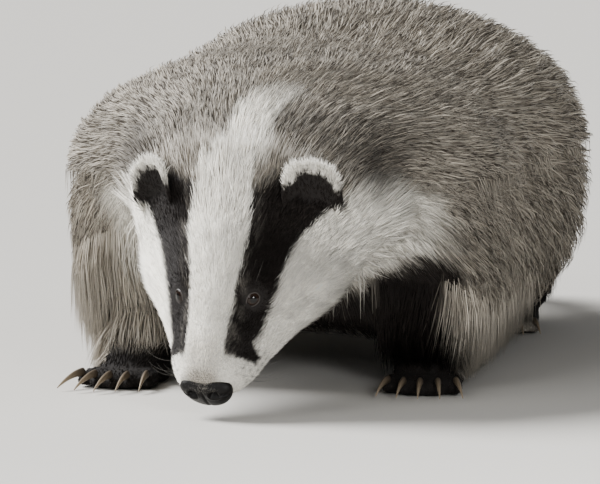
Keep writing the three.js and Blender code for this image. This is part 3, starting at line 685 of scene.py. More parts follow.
def trunk_fur(name, count, t_range, width):
    """Guard hair of neck, shoulders, back and flanks. From its root on the skin it rises to the
    outline of the coat; in places it stands a little prouder, and the tips gather in clumps."""
    t, angle = scatter(trunk_surface, t_range, count, trunk_density)
    depth = trunk_coat(t, angle)
    long = guard_length(t, angle) * rng.uniform(0.72, 1.12, count)
    long = shortened(trunk_surface, t, angle, long, 0.995)
    to_t, to_angle, clump = clumps(t, angle, 0.017, 0.075)
    skirt = step(-np.sin(angle), 0.25, 0.8) * step(t, 0.24, 0.32) * (1 - step(t, 0.55, 0.75))
    top = np.clip(rng.normal(0.22, 0.08, count) - 0.06 * clump, 0.0, 0.42) * depth - 11 * skirt
    start = CORE_SHARE * depth + 1.0
    insets = [start + (top - start) * np.sin(share * math.pi / 2) ** 1.1 for share in SHARES]
    gather = (0.55 * to_t, 0.55 * to_angle)
    jitter = rng.normal(0, 0.05, count)
    spine, out = sweep(trunk_surface, t, angle, long, trunk_flow, insets, SHARES, gather, jitter)
    # near the floor hair bends away from it
    floor = 2 + 4 * rng.random(count)[:, None]
    high = spine[:, :, 2]
    bent = floor + 6 * np.exp((high - floor - 6) / 6)
    spine[:, :, 2] = np.where(high < floor + 6, bent, high)
    marks = markings(spine[:, 0] + 0.35 * (spine[:, -1] - spine[:, 0]), out)
    tones = 1 + 0.13 * clump + 0.08 * ripple(spine[:, 0], 45)
    width = width * rng.uniform(0.7, 1.2, count)
    return fur_piece(name, spine, out, width, marks, unrolled(t, angle), "coat", shares=SHARES, tones=tones)


def tail_fur(count):
    """Long hair of the tail, which rises evenly from its root to a loose outline."""
    shares = (0.0, 0.55, 1.0)
    t, angle = scatter(tail_surface, (0.0, 0.84), count, tail_density)
    long = 56 * rng.uniform(0.7, 1.15, count)
    start = tail_inset(t, angle) + 1
    top = rng.normal(0.0, 4.2, count)
    insets = [start + (top - start) * share for share in shares]
    to_t, to_angle, clump = clumps(t, angle, 0.06, 0.35)
    long = shortened(tail_surface, t, angle, long, 0.99)
    gather = (0.5 * to_t, 0.5 * to_angle)
    jitter = rng.normal(0, 0.16, count)
    spine, out = sweep(tail_surface, t, angle, long, tail_flow, insets, shares, gather, jitter)
    width = rng.uniform(0.7, 1.2, count)
    place, tones = unrolled(t, angle), 0.9 + 0.16 * clump
    fur_piece("fur_tail", spine, out, width, TAIL_MARKS, place, "tail_coat", shares=shares, tones=tones)


# Materials


def feed(tree, made, links):
    """Links the inputs of a node from (node, output) pairs."""
    for socket, (source, output) in links.items():
        tree.links.new(source.outputs[output], made.inputs[socket])


def node(tree, kind, links=None, **settings):
    """Adds a node with its settings, and links its inputs from (node, output) pairs."""
    made = tree.nodes.new(kind)
    for key, value in settings.items():
        if key.startswith("in_"):
            made.inputs[key[3:].replace("_", " ")].default_value = value
        else:
            setattr(made, key, value)
    feed(tree, made, links or {})
    return made


def material(name, **settings):
    """A material whose shader has these settings, its node tree, and the shader."""
    made = bpy.data.materials.new(name)
    made.use_nodes = True
    shader = made.node_tree.nodes["Principled BSDF"]
    for key, value in settings.items():
        shader.inputs[key.replace("_", " ")].default_value = value
    return made, made.node_tree, shader


def own_colour(tree, layer_name):
    """The colour that each point was painted with."""
    return node(tree, "ShaderNodeAttribute", attribute_name=layer_name), "Color"


def grain(tree, scale):
    """Fine noise in the object's own space, about one grain in 1/scale metres."""
    place = node(tree, "ShaderNodeTexCoord")
    noise = node(tree, "ShaderNodeTexNoise", {"Vector": (place, "Object")}, in_Scale=scale, in_Detail=3.0)
    return noise, "Fac"


def relief(tree, shader, height, strength, distance, invert=False):
    """Raises a shader's surface by a (node, output) pair, up to a distance in metres."""
    raised = node(tree, "ShaderNodeBump", {"Height": height}, invert=invert,
                  in_Strength=strength, in_Distance=distance)
    feed(tree, shader, {"Normal": (raised, "Normal")})


def hair_material():
    """Guard hair: keratin, dull along most of its length with a soft gloss, in each hair's own colour."""
    made, tree, shader = material("badger_hair", Roughness=0.6, IOR=1.55, Specular_IOR_Level=0.1)
    feed(tree, shader, {"Base Color": own_colour(tree, "coat_colour")})
    return made


def skin_material():
    """Hide under the fur: underfur of each marking's colour, matt, broken by a fine lie of hair.
    The bump is the hair's own: ridges 0.5 mm apart that run back along the body. The colour differs
    from hair to hair and is darkest in the hollows between the ridges: partly the hair's own tone,
    partly painted shade."""
    made, tree, shader = material("badger_hide_and_underfur", Roughness=0.85, Specular_IOR_Level=0.25)
    place = node(tree, "ShaderNodeTexCoord")
    along = node(tree, "ShaderNodeMapping", {"Vector": (place, "Object")}, in_Scale=(900, 160, 500))
    hairs = node(tree, "ShaderNodeTexNoise", {"Vector": (along, "Vector")}, in_Scale=1.0, in_Detail=4.0)
    # darker where the ridges sink: partly tone between hairs, partly painted shade in the hollows
    tone_and_hollow_shade = node(tree, "ShaderNodeMapRange", {"Value": (hairs, "Fac")},
               in_From_Min=0.3, in_From_Max=0.7, in_To_Min=0.72, in_To_Max=1.1)
    links = {"Vector": own_colour(tree, "coat_colour"), "Scale": (tone_and_hollow_shade, "Result")}
    shade = node(tree, "ShaderNodeVectorMath", links, operation="SCALE")
    feed(tree, shader, {"Base Color": (shade, "Vector")})
    relief(tree, shader, (hairs, "Fac"), 0.5, 0.0006)
    return made


def eye_material():
    """Wet eye: a clear, glossy film over each point's own colour, which mirrors the light sharply."""
    made, tree, shader = material("wet_eye", Roughness=0.05, IOR=1.36)
    feed(tree, shader, {"Base Color": own_colour(tree, "eye_colour")})
    return made


def lid_material():
    """Bare lid skin: dark, finely wrinkled, with a little shine."""
    made, tree, shader = material("bare_lid_skin", Base_Color=(*linear("#2b2521"), 1), Roughness=0.45)
    relief(tree, shader, grain(tree, 1800.0), 0.4, 0.0002)
    return made


def nose_material():
    """Bare dark nose skin, damp, pebbled with rounded grains under 1 mm across, painted darker in the
    grooves between them: painted shade.
    """
    made, tree, shader = material("damp_nose_skin", Roughness=0.42, Specular_IOR_Level=0.17)
    place = node(tree, "ShaderNodeTexCoord")
    pebble = node(tree, "ShaderNodeTexVoronoi", {"Vector": (place, "Object")}, feature="SMOOTH_F1",
                  in_Scale=1250.0)
    # the colour darkens towards each grain's edge, in the grooves: painted shade
    tone = node(tree, "ShaderNodeMapRange", {"Value": (pebble, "Distance")},
                in_From_Min=0.0, in_From_Max=0.7, in_To_Min=1.0, in_To_Max=0.45)
    base = node(tree, "ShaderNodeVectorMath", {"Scale": (tone, "Result")}, operation="SCALE",
                in_Vector=tuple(linear("#0f0d0c")))
    feed(tree, shader, {"Base Color": (base, "Vector")})
    relief(tree, shader, (pebble, "Distance"), 0.55, 0.00035, invert=True)
    return made


def claw_material():
    """Claw horn: worn smooth, with a soft shine and fine streaks. Its colour pales to the tip."""
    made, tree, shader = material("claw_horn", Roughness=0.38, IOR=1.54)
    feed(tree, shader, {"Base Color": own_colour(tree, "horn_colour")})
    relief(tree, shader, grain(tree, 900.0), 0.25, 0.0002)
    return made


HAIR = hair_material()


# The skin

SIDES = {1: "left", -1: "right"}
BLACK_MARKS = np.array([0.0, 1.0, 0.0])
LATTICE = 0.0034  # spacing, in metres, of the lattice that trunk, tail and legs are fused on


def mirrored(sign):
    """Factors that turn head directions of the left side into those of the side with this sign."""
    return np.stack([sign, 1 + 0 * sign, 1 + 0 * sign], -1)


def blend(first, second, share):
    """A row of the first for share 0, of the second for share 1."""
    return first * (1 - share[:, None]) + second * share[:, None]


def with_ends(rings):
    """A closed tube over rings of points, its ends on the middles of the end rings."""
    return closed_tube(rings, rings[0].mean(0), rings[-1].mean(0))


def tube_from(surface, rings, around, inset=None, t_range=(0.0, 1.0)):
    """A closed tube over a surface of share and angle."""
    t, angle = grid(np.linspace(*t_range, rings), whole_turn(around))
    return with_ends(surface(t, angle) if inset is None else surface(t, angle, inset(t, angle)))


def paw_place(foot, side, back, up):
    """Places given sideways, back and up from a foot's place on the floor."""
    x, y, toe = foot
    side_way, back_way, _ = turned(toe, 0)
    place = np.array([x, y, 0.0]) + side[..., None] * side_way + back[..., None] * back_way
    return place - up[..., None] * DOWN


def toe_places(paw, foot):
    """Sideways place, reach and fan of each toe: the middle ones reach furthest."""
    across = (np.arange(TOES) - (TOES - 1) / 2) / ((TOES - 1) / 2)
    side = across * (paw["half"] - paw["toe"] + 1)
    reach = paw["length"] - paw["heel"] - 2 - 9 * across ** 2
    return list(zip(side, reach, np.radians(foot[2] + 13 * across)))


def paw_solids(paw, foot):
    """Palm and wrist as one flattened ball that rises to the leg behind, with five toes in front."""
    span = paw["length"] / 2 - 6
    middle = paw["heel"] - span - 2

    def palm(x, y, z):
        ankle = bump(middle + y * span - paw["ankle"], 22)
        high = np.where(z > 0, 8 + paw["tall"] * (0.42 + 0.42 * ankle), 12)
        side = power(x, 0.8) * (paw["half"] - 2) * (1 - 0.08 * y)
        return paw_place(foot, side, middle + y * span, np.maximum(5 + z * high, 0))

    solids = [closed_tube(*ball_points(palm, 48, 26))]
    for side, reach, fan in toe_places(paw, foot):
        def toe(x, y, z):
            along = y * paw["reach"]
            sideways = side + x * paw["toe"] - math.sin(fan) * along
            return paw_place(foot, sideways, along - reach - 4, np.maximum(6 + 7.5 * z + 1.5 * y, 0.4))
        solids.append(closed_tube(*ball_points(toe, 28, 18)))
    return solids


def leg_rows(kind, foot):
    """A leg's table, moved over its foot."""
    x, y, _ = foot
    rows = (FORELEG if kind == "fore" else HINDLEG).copy()
    rows[:, 0] = x - np.sign(x) * rows[:, 0]
    rows[:, 1] += y
    return rows


def ear_curl(across, rise):
    """How far an ear's middle layer stands out: a valley up its middle, shallower towards the top."""
    return EAR["cup"] * (across ** 2 - 0.3) * (1 - 0.35 * np.maximum(rise, 0))


def ear_shape(way):
    """A round upright cup, open to the front and outside: a flattened ball whose edges curl forwards."""
    def shape(x, y, z):
        rise = (y + 0.55) / 1.55
        curl = ear_curl(x, rise) + EAR["thick"] / 2 * power(z, 0.4)
        place = EAR_BASE + (power(x, 0.8) * EAR["width"] / 2)[..., None] * EAR_ACROSS
        place = place + (rise * EAR["height"])[..., None] * EAR_RISE + curl[..., None] * EAR_FACING
        return from_head(place * mirrored(way))
    return shape


def build_skin():
    """The whole skin as one surface: trunk, tail, legs and paws fused on a lattice and smoothed,
    joined to the finer head and ears."""
    body = [
        tube_from(trunk_surface, 150, 180, trunk_inset),
        tube_from(tail_surface, 60, 60, tail_inset, (0.0, 0.86)),
    ]
    for name, foot in FEET.items():
        body.append(tube_from(limb_surface(leg_rows(name[:4], foot)), 50, 60))
        body += paw_solids(PAWS[name[:4]], foot)
    skin = as_piece("badger_skin", body)
    fuse = skin.modifiers.new("fuse", "REMESH")
    fuse.mode, fuse.voxel_size, fuse.use_smooth_shade = "VOXEL", LATTICE, True
    soften = skin.modifiers.new("soften", "SMOOTH")
    soften.factor, soften.iterations = 0.5, 4
    settle(skin)
    finer = [tube_from(head_surface, 170, 260, t_range=(0.0, 0.98))]
    finer += [closed_tube(*ball_points(ear_shape(way), 56, 30)) for way in SIDES]
    for k, solid in enumerate(finer):
        other = as_piece(f"finer_{k}", [solid])
        union = skin.modifiers.new("union", "BOOLEAN")
        union.operation, union.object, union.solver = "UNION", other, "MANIFOLD"
        settle(skin)
        bpy.data.objects.remove(other)
    skin.data.shade_smooth()
    return skin


def ear_place(points, way):
    """Place on an ear's own axes, which aren't square: across, up its height as a share, and out of
    its cup."""
    local = to_head(points) * mirrored(way) - EAR_BASE
    axes = np.stack([EAR_ACROSS, EAR_RISE * EAR["height"], EAR_FACING])
    return (local @ np.linalg.inv(axes)).T


def on_ears(points):
    """Share of a place that belongs to an ear, its distance from the middle of the cup as a share of
    the rim's, its height from that middle, and the direction from the middle to the rim."""
    share, rim, rising = np.zeros((3, len(points)))
    ray = np.zeros_like(points)
    for way in SIDES:
        across, rise, facing = ear_place(points, way)
        across = power(across / (EAR["width"] / 2), 1.25)
        close = np.abs(facing - ear_curl(across, rise)) < 6
        here = (np.abs(across) < 1.15) & close & (rise > 0.1)
        height = 1.55 * rise - 0.55
        flip = mirrored(way)
        toward = across[:, None] * (EAR_ACROSS * flip) + height[:, None] * (EAR_RISE * flip)
        share = np.where(here, step(rise, 0.1, 0.2), share)
        rim = np.where(here, np.hypot(across, height), rim)
        rising = np.where(here, height, rising)
        ray = np.where(here[:, None], toward, ray)
    return share, rim, rising, ray @ HEAD_AXES


def on_legs(points):
    """Share of a place that belongs to a leg or paw that is black: on the animal's right foreleg, on the
    side the sun falls on, the black starts far lower and the leg above is painted pale: painted light."""
    share = np.zeros(len(points))
    for name, (x, y, _) in FEET.items():
        back = 14 if name[:4] == "fore" else 22
        # the right foreleg is black only below 30 mm; the pale above it is painted light on the sunlit side
        top = 30 if name == "foreright" else 100
        near = np.hypot(points[:, 0] - x, (points[:, 1] - y - back) * 0.8)
        share = np.maximum(share, (1 - step(near, 46, 54)) * (1 - step(points[:, 2], top - 8, top + 8)))
    return share


def skin_marks(points, out):
    """Markings of the whole skin: those of head and trunk, black ears with a white rim, black feet."""
    ear, rim, rising, _ = on_ears(points)
    white = step(rim + 0.05 * ripple(points, 5), 0.74, 0.86)
    white = white * step(rising + 0.1 * ripple(points, 4), 0.15, 0.5)
    ear_marks = np.stack([white, 1 - white, 0 * white], -1)
    return blend(blend(markings(points, out), ear_marks, ear), BLACK_MARKS, on_legs(points))


def colour_skin(skin):
    """Paints the skin as underfur: darker than the hair of each marking, and darkest under grey hair."""
    points, out = mesh_points(skin)
    marks = skin_marks(points * 1000 - SHIFT, out)
    paint(skin, "coat_colour", marks @ np.stack([WHITE_HAIR * 0.7, BLACK_HAIR * 0.8, PALE_HAIR * 0.28]))


skin = build_skin()
colour_skin(skin)
skin.data.materials.clear()
limbs = ("foreleg", "forepaw", "hindleg", "hindpaw")
limbs = [f"{limb}_{side}" for limb in limbs for side in SIDES.values()]
dress(skin, skin_material(), "coat", "head", "neck", "torso", "tail", "ear_left", "ear_right", *limbs)


# Eyes, lids, nose and claws


def nearest(points, place):
    """The point that is nearest to a place."""
    return points[np.argmin(((points - place) ** 2).sum(-1))]


def look_of(way):
    """An eye's middle, and the outward direction of the face there."""
    middle = centre_of(f"eye_{SIDES[way]}") - SHIFT
    face = head_surface(*grid(np.linspace(0.3, 0.55, 160), np.linspace(0.02, math.pi - 0.02, 400)))
    return middle, unit(nearest(face.reshape(-1, 3), middle) - middle)


LOOKS = {way: look_of(way) for way in SIDES}


def square_to(axis, wish):
    """The wished direction, made square to an axis, and the one square to both."""
    first = unit(wish - axis * (wish @ axis))
    return first, np.cross(axis, first)


def add_eyes():
    """Eyeballs, dark to the rim of the lids: a black pupil in a dark brown iris."""
    made = eye_material()
    for way, (middle, out) in LOOKS.items():
        first, second = square_to(out, HEAD_SIDE)
        axes = np.stack([first, second, out])

        def ball(x, y, z):
            return middle + EYE["radius"] * np.stack([x, y, z], -1) @ axes

        points, faces = closed_tube(*ball_points(ball, 64, 48))
        eye = new_piece(f"eyeball_{SIDES[way]}", to_frame(points), faces)
        local = points - middle
        off_axis = np.degrees(np.arccos(np.clip(local @ out / EYE["radius"], -1, 1)))
        iris = step(off_axis, 19, 23) * (1 - step(off_axis, 38, 46))
        streak = 0.85 + 0.15 * np.sin(40 * np.arctan2(local @ first, local @ second))
        brown = linear("#1f130b") * (iris * streak)[:, None]
        paint(eye, "eye_colour", linear("#070606") * (1 - iris[:, None]) + brown)
        dress(eye, made, "eye_gloss", f"eye_{SIDES[way]}")


def add_lids():
    """A ring of bare dark lid on each eyeball, drawn out to a corner in front."""
    long_way, round_way = 96, 20
    i, k = grid(np.arange(long_way), np.arange(round_way))
    next_i, next_k = (i + 1) % long_way * round_way, (k + 1) % round_way
    i = i * round_way
    quads = np.stack([i + k, next_i + k, next_i + next_k, i + next_k], -1).reshape(-1, 4)
    tris = np.vstack([quads[:, [0, 1, 2]], quads[:, [0, 2, 3]]])
    rings = []
    for way, (middle, out) in LOOKS.items():
        ahead, across = square_to(out, -HEAD_BACK - 0.35 * way * HEAD_SIDE)
        turn, around = grid(whole_turn(long_way), whole_turn(round_way))
        corner = np.maximum(np.cos(turn), 0) ** 4
        tube = 0.62 * np.cos(around)
        long = (5.0 * (1 + 0.36 * corner) + tube) * np.cos(turn)
        short = (4.2 + tube) * np.sin(turn)
        lift = 4.6 + 0.9 * np.sin(around) - 0.9 * corner - 0.5 * np.cos(around)
        points = middle + long[..., None] * ahead + short[..., None] * across + lift[..., None] * out
        points = points.reshape(-1, 3)
        rings.append((points, outward(points, tris, middle)))
    dress(as_piece("eyelids", rings), lid_material(), "face_fur")


def nose_pad(x, y, z):
    """A pad as broad as the muzzle's end, higher in the middle, sunk at the nostrils and at the
    slits that curl outwards from them, and parted by a groove: a unit sphere's place on it."""
    side = PAD["half"] * power(x, 0.9)
    dip = np.where(z > 0, 1.4 * bump(side, 8), 0)
    up = (np.where(z > 0, PAD["up"], PAD["down"]) - dip) * z * (1 - 0.12 * x * x) - 1
    back = 8 + 8 * y + 0.1 * up
    front = step(-y, -0.1, 0.4)
    away = np.abs(side)
    nostril = 4.2 * np.exp(-(((away - 7.6) / 3.0) ** 4) - (((up + 0.6) / 2.5) ** 4))
    off_slit = up + 2.6 + 0.16 * (away - 12)
    slit = 2.6 * np.exp(-(((away - 12.6) / 3.6) ** 4) - ((off_slit / 1.1) ** 4))
    rim = 0.7 * bump(np.hypot(away - 7.6, up + 0.6) - 4.2, 1.1)
    groove = 1.3 * bump(side, 0.8) * step(-up, -4, 1)
    fold = 0.35 * bump(up - 4.5, 1.2)
    inward = (np.maximum(nostril, slit) + groove + fold - rim) * front
    return from_head(np.stack([side * (1 - 0.02 * inward), back + inward, up], -1))


def add_nose():
    """The nose pad. The ball's poles are turned to its sides, so that its front is evenly ruled."""
    def pad(x, y, z):
        return nose_pad(z, x, y)

    nose = as_piece("nose_pad", [closed_tube(*ball_points(pad, 200, 150))])
    dress(nose, nose_material(), "nose_skin", "nose")


def add_claws():
    """Claws: long curved cones, deeper than wide, grooved a little along their sides."""
    made = claw_material()
    t, turn = grid(np.linspace(0, 0.985, 28), whole_turn(22))
    wide = 2.3 * (1 - 0.86 * t ** 1.2) * (1 - 0.07 * np.abs(np.sin(2 * turn)))
    deep = 3.0 * (1 - 0.84 * t ** 1.2)
    for name, foot in FEET.items():
        paw = PAWS[name[:4]]
        solids = []
        for side, reach, fan in toe_places(paw, foot):
            along = reach + 4 + paw["reach"] - 5 + (paw["claw"] + 5) * t
            sideways = side + math.sin(fan) * (along - reach - 4) + wide * np.cos(turn)
            rings = paw_place(foot, sideways, -along, 11 - 8.4 * t * t + deep * np.sin(turn))
            solids.append(with_ends(rings))
        claws = as_piece(f"claws_{name}", solids)
        share = np.tile(np.append(t.ravel(), [0, 1]), TOES)
        paint(claws, "horn_colour", blend(linear("#3d342b"), linear("#8c7d68"), share))
        dress(claws, made, "claw_horn", *(f"claw_{name}_{k}" for k in range(1, TOES + 1)))


add_eyes()
add_lids()
add_nose()
add_claws()


# The coat

ROOT_DEPTH = 0.35  # how far the roots of short hair are under the skin
LOWEST = 0.5  # height that short hair keeps above the frame's zero, which is near the floor
# hair of the face: back from the nose tip, and its length there
FACE_LENGTHS = ([6, 20, 40, 66, 90, 110, 130, 150], [2.0, 3.0, 4.4, 6.0, 9.0, 12.0, 17.0, 26.0])
# pieces of the trunk's guard hair: start and end along it, hairs, and their half width
TRUNK_FUR = {
    "fur_shoulders_1": (0.085, 0.17, 13500, 0.48),
    "fur_shoulders_2": (0.17, 0.245, 14000, 0.48),
    "fur_shoulders_3": (0.245, 0.32, 13000, 0.48),
    "fur_shoulders_4": (0.32, 0.41, 12500, 0.48),
    "fur_back_1": (0.41, 0.68, 13000, 0.66),
    "fur_back_2": (0.68, 0.975, 13000, 0.66),
}


def skin_triangles(skin):
    """Corner places, corner normals, middles and areas of the skin's triangles."""
    points, out = mesh_points(skin)
    points = points * 1000 - SHIFT
    skin.data.calc_loop_triangles()
    tris = np.empty(len(skin.data.loop_triangles) * 3, np.int32)
    skin.data.loop_triangles.foreach_get("vertices", tris)
    tris = tris.reshape(-1, 3)
    corners = points[tris]
    first, second = corners[:, 1] - corners[:, 0], corners[:, 2] - corners[:, 0]
    area = 0.5 * np.linalg.norm(np.cross(first, second), axis=-1)
    return corners, out[tris], corners.mean(1), area


def scatter_on(triangles, weight, count):
    """Random places on the skin and its outward directions there, as dense as area times weight."""
    corners, normals, _, area = triangles
    chance = area * weight
    i = rng.choice(len(area), count, p=chance / chance.sum())
    u, v = rng.random((2, count))
    fold = u + v > 1
    u, v = np.where(fold, 1 - u, u), np.where(fold, 1 - v, v)
    mix = np.stack([1 - u - v, u, v], -1)[..., None]
    return (corners[i] * mix).sum(1), unit((normals[i] * mix).sum(1))


def short_fur(name, roots, out, way, length, lift, width, marks, place, slot, *,
              points=2, tones=1.0, bend=0.5):
    """Short hair: straight or bending down to the skin, raised from it by lift, in radians."""
    way = lying(way, out)
    spine = [roots - out * ROOT_DEPTH]
    for k in range(1, points):
        rise = lift * (1 - bend * (k - 1) / max(points - 1, 1) * 2)
        run = way * np.cos(rise)[:, None] + out * np.sin(rise)[:, None]
        spine.append(spine[-1] + run * (length / (points - 1))[:, None])
    spine = np.stack(spine, 1)
    spine[:, :, 2] = np.maximum(spine[:, :, 2], LOWEST - SHIFT[2])
    shares = np.linspace(0, 1, points)
    fur_piece(name, spine, out, width, marks, place, slot, shares=shares, shade=0.14, tones=tones)


def head_unwrap(local):
    """Place on the unwrap of the head: round its axis, and back along it."""
    return np.stack([turn_share(local[:, 2] + 4, local[:, 0]), np.clip(local[:, 1] / 190, 0, 1)], -1)


def face_flow(local):
    """Lie of the face's hair, in head directions: back from the nose, parting round the eyes,
    and down a little on the cheeks."""
    side, back, up = local.T
    low = step(-up, -12, 20) * step(back, 40, 100)
    way = np.stack([0.16 * side / 30, 1 + 0 * side, -0.55 * low], -1)
    away = np.stack([np.sign(side) * (np.abs(side) - EYE["side"]), back - EYE["back"], 0 * up], -1)
    near = bump(np.hypot(away[:, 0], away[:, 1]) - 5, 5.5)
    return way + unit(away) * (1.3 * near)[:, None]


def spot_dark(local):
    """Dark spots in rows on the muzzle's sides, where the whiskers stand."""
    dark = np.zeros(len(local))
    for row, up in enumerate((4.0, -1.5, -6.5, -11.5)):
        for back in np.arange(15, 37, 4.8) + 1.6 * (row % 2):
            off = np.hypot(local[:, 1] - back, local[:, 2] - up + 0.12 * (back - 15))
            dark = np.maximum(dark, bump(off, 1.15))
    return dark * step(np.abs(local[:, 0]), 9, 13)


def bare_face(local):
    """Whether places of the head lie in the nose pad or on the mouth line, where no hair grows."""
    side, back, up = local.T
    pad_half = 17.5 - 0.4 * np.maximum(back - 6, 0)
    pad_top = 6.6 - 0.35 * np.maximum(back - 8, 0) - 2.2 * bump(side, 8)
    in_pad = (back < 13.5) & (np.abs(side) < pad_half) & (up < pad_top) & (up > -16.5)
    return in_pad | (back < 66) & (np.abs(up - mouth_up(back)) < 1.3) & (np.abs(side) > 2)


def head_fur(name, triangles, region, count, density, points=2):
    """Fur of the head between two distances back from the nose tip, as dense as density(back)."""
    side, back, up = to_head(triangles[2]).T
    inside = (back > region[0]) & (back < region[1]) & (np.abs(side) < 100) & (up > -75) & (up < 90)
    inside &= on_ears(triangles[2])[0] < 0.5
    # seen skin is furred most densely
    seen = 0.35 + 0.65 * step(up, -45, -15)
    roots, out = scatter_on(triangles, inside * seen * density(back), count)
    local = to_head(roots)
    lids = [middle + look * 5.0 for middle, look in LOOKS.values()]
    eye = np.minimum(*(np.linalg.norm(roots - lid, axis=-1) for lid in lids))
    keep = (eye > 6.0) & ~bare_face(local)
    roots, out, local, eye = roots[keep], out[keep], local[keep], eye[keep]
    side, back, up = local.T
    count = len(back)
    cheek = step(-up, -16, 8) * step(back, 50, 95)
    by_ear = bump(np.linalg.norm(np.abs(local) - np.array([60, 130, 34]), axis=-1), 26)
    length = np.interp(back, *FACE_LENGTHS) * (1 + 0.7 * cheek) * (0.4 + 0.6 * step(eye, 6, 15))
    length = length * (1 - 0.6 * by_ear) * rng.uniform(0.75, 1.2, count)
    flow = face_flow(local) + 0.10 * rng.normal(size=(count, 3))
    flow = flow + 0.14 * ripple(roots, 9)[:, None] * np.array([1.0, 0, 0])
    lift = np.radians(np.interp(back, [6, 60, 150], [24, 17, 15]) + 5 * cheek)
    lift = lift * rng.uniform(0.6, 1.5, count)
    width = np.interp(back, [6, 60, 110, 150], [0.20, 0.27, 0.36, 0.5]) * rng.uniform(0.8, 1.2, count)
    ragged = 0.35 * length[:, None] * (unit(flow) @ HEAD_AXES)
    ragged = ragged + 0.9 * rng.normal(size=(count, 1)) * HEAD_SIDE
    marks = skin_marks(roots + ragged * step(back, 14, 40)[:, None], out)
    marks = blend(marks, BLACK_MARKS, 0.85 * spot_dark(local))
    strands = ripple(local * np.array([1.0, 0.25, 1.0]), 3.5)
    tones = 1 + 0.04 * ripple(roots, 14) + 0.17 * (0.3 + cheek) * strands
    short_fur(name, roots, out, flow @ HEAD_AXES, length, lift, width, marks, head_unwrap(local),
              "face_fur", points=points, tones=tones)


def pad_fur(count):
    """Very short grey-brown hair on the upper edge of the nose pad, thinning towards the nostrils."""
    z = 1 - 0.75 * rng.random(count) ** 1.6
    turn = rng.uniform(math.pi, 2 * math.pi, count)
    flat = np.sqrt(1 - z * z)
    x, y = flat * np.cos(turn), flat * np.sin(turn)
    roots = nose_pad(x, y, z)
    inner = nose_pad(0.9 * flat * np.cos(turn), 0.9 * flat * np.sin(turn), 0.9 * z)
    way = HEAD_BACK + 0.3 * rng.normal(size=(count, 3))
    middle = bump(x, 0.6)[:, None]
    high = z[:, None]
    marks = BLACK_MARKS * (1 - 0.7 * middle * high) + np.array([0.15, 0.0, 0.55]) * middle * high
    keep = rng.random(count) < 0.35 + 0.65 * middle[:, 0]
    parts = [value[keep] for value in (roots, unit(roots - inner), way)]
    size = int(keep.sum())
    short_fur("fur_nose_edge", *parts, rng.uniform(1.0, 1.9, size), np.full(size, 0.35), 0.14,
              marks[keep], unrolled(z, turn)[keep], "face_fur")


def ear_fur(triangles, count):
    """Short black fur on the ears, with a fringe of longer white hair round the upper rim."""
    share, rim, _, _ = on_ears(triangles[2])
    roots, out = scatter_on(triangles, (share > 0.3) * (1 + 2.0 * step(rim, 0.7, 0.85)), count)
    _, rim, rising, ray = on_ears(roots)
    sign = np.sign(to_head(roots)[:, 0])
    edge = (step(rim, 0.75, 0.95) * step(rising, 0.1, 0.6))[:, None]
    way = (mirrored(sign) * EAR_RISE) @ HEAD_AXES * (1 - 0.5 * edge) + unit(ray) * (0.2 + 0.6 * edge)
    way = way + 0.14 * rng.normal(size=(count, 3))
    length = (3.6 + 5.0 * edge[:, 0]) * rng.uniform(0.6, 1.25, count)
    lift = np.radians(rng.uniform(6, 24, count))
    turn = 0.5 + sign * np.clip(0.1 + 0.2 * rim, 0, 0.45)
    place = np.stack([turn, np.clip(0.5 + 0.4 * rising, 0, 1)], -1)
    marks = skin_marks(roots, out)
    short_fur("fur_ears", roots, out, way, length, lift, 0.26, marks, place, "ear_fur", points=3)


def outside_trunk(points):
    """How far places stand out of the skin of the trunk, from the nearest of a ruling of its places."""
    t, angle = grid(np.linspace(0.1, 0.95, 110), np.linspace(math.pi, 2 * math.pi, 80))
    trunk = trunk_surface(t, angle, trunk_inset(t, angle)).reshape(-1, 3)
    out = surface_axes(trunk_surface, t, angle)[2].reshape(-1, 3)
    stand = np.full(len(points), 99.0)
    for rows in np.array_split(np.arange(len(points)), max(len(points) // 400, 1)):
        here = points[rows]
        near = np.all((trunk > here.min(0) - 30) & (trunk < here.max(0) + 30), axis=1)
        if near.any():
            closest = np.argmin(((here[:, None] - trunk[near][None]) ** 2).sum(-1), axis=1)
            stand[rows] = along_of(here - trunk[near][closest], out[near][closest])
    return stand


def leg_fur(triangles, count):
    """Fur of the legs where they leave the trunk: long and hanging above, short on the paws, where it
    lies forward over the toes."""
    middles = triangles[2]
    near = np.zeros(len(middles), bool)
    for x, y, _ in FEET.values():
        near |= (np.abs(middles[:, 0] - x) < 62) & (np.abs(middles[:, 1] - y - 12) < 85)
    near &= (middles[:, 2] > 1.5) & (middles[:, 2] < 140)
    # neighbours are measured together
    order = np.nonzero(near)[0]
    order = order[np.lexsort((middles[order, 2] // 20, middles[order, 1] // 30, middles[order, 0] // 30))]
    bare = np.zeros(len(middles))
    bare[order] = outside_trunk(middles[order]) > 1.0
    roots, out = scatter_on(triangles, bare * (1 - 0.45 * step(middles[:, 2], 26, 44)), count)
    high = step(roots[:, 2], 24, 46)[:, None]
    way = DOWN * (0.6 + 0.4 * high) + np.array([0, -1.2, 0.1]) * (1 - high)
    way = way + 0.13 * rng.normal(size=(count, 3))
    length = np.interp(roots[:, 2], [2, 14, 30, 50, 90], [3.0, 5.0, 10.0, 30.0, 44.0])
    length = length * rng.uniform(0.7, 1.15, count)
    lift = np.radians(rng.uniform(9, 20, count))
    width = np.interp(roots[:, 2], [15, 60], [0.36, 0.62])
    place = np.mod(np.stack([roots[:, 0] / 600 + 0.5, (roots[:, 1] + 60) / 640], -1), 1)
    short_fur("fur_legs", roots, out, way, length, lift, width, skin_marks(roots, out), place, "leg_fur",
              points=3, tones=1 + 0.1 * ripple(roots, 12), bend=0.9)


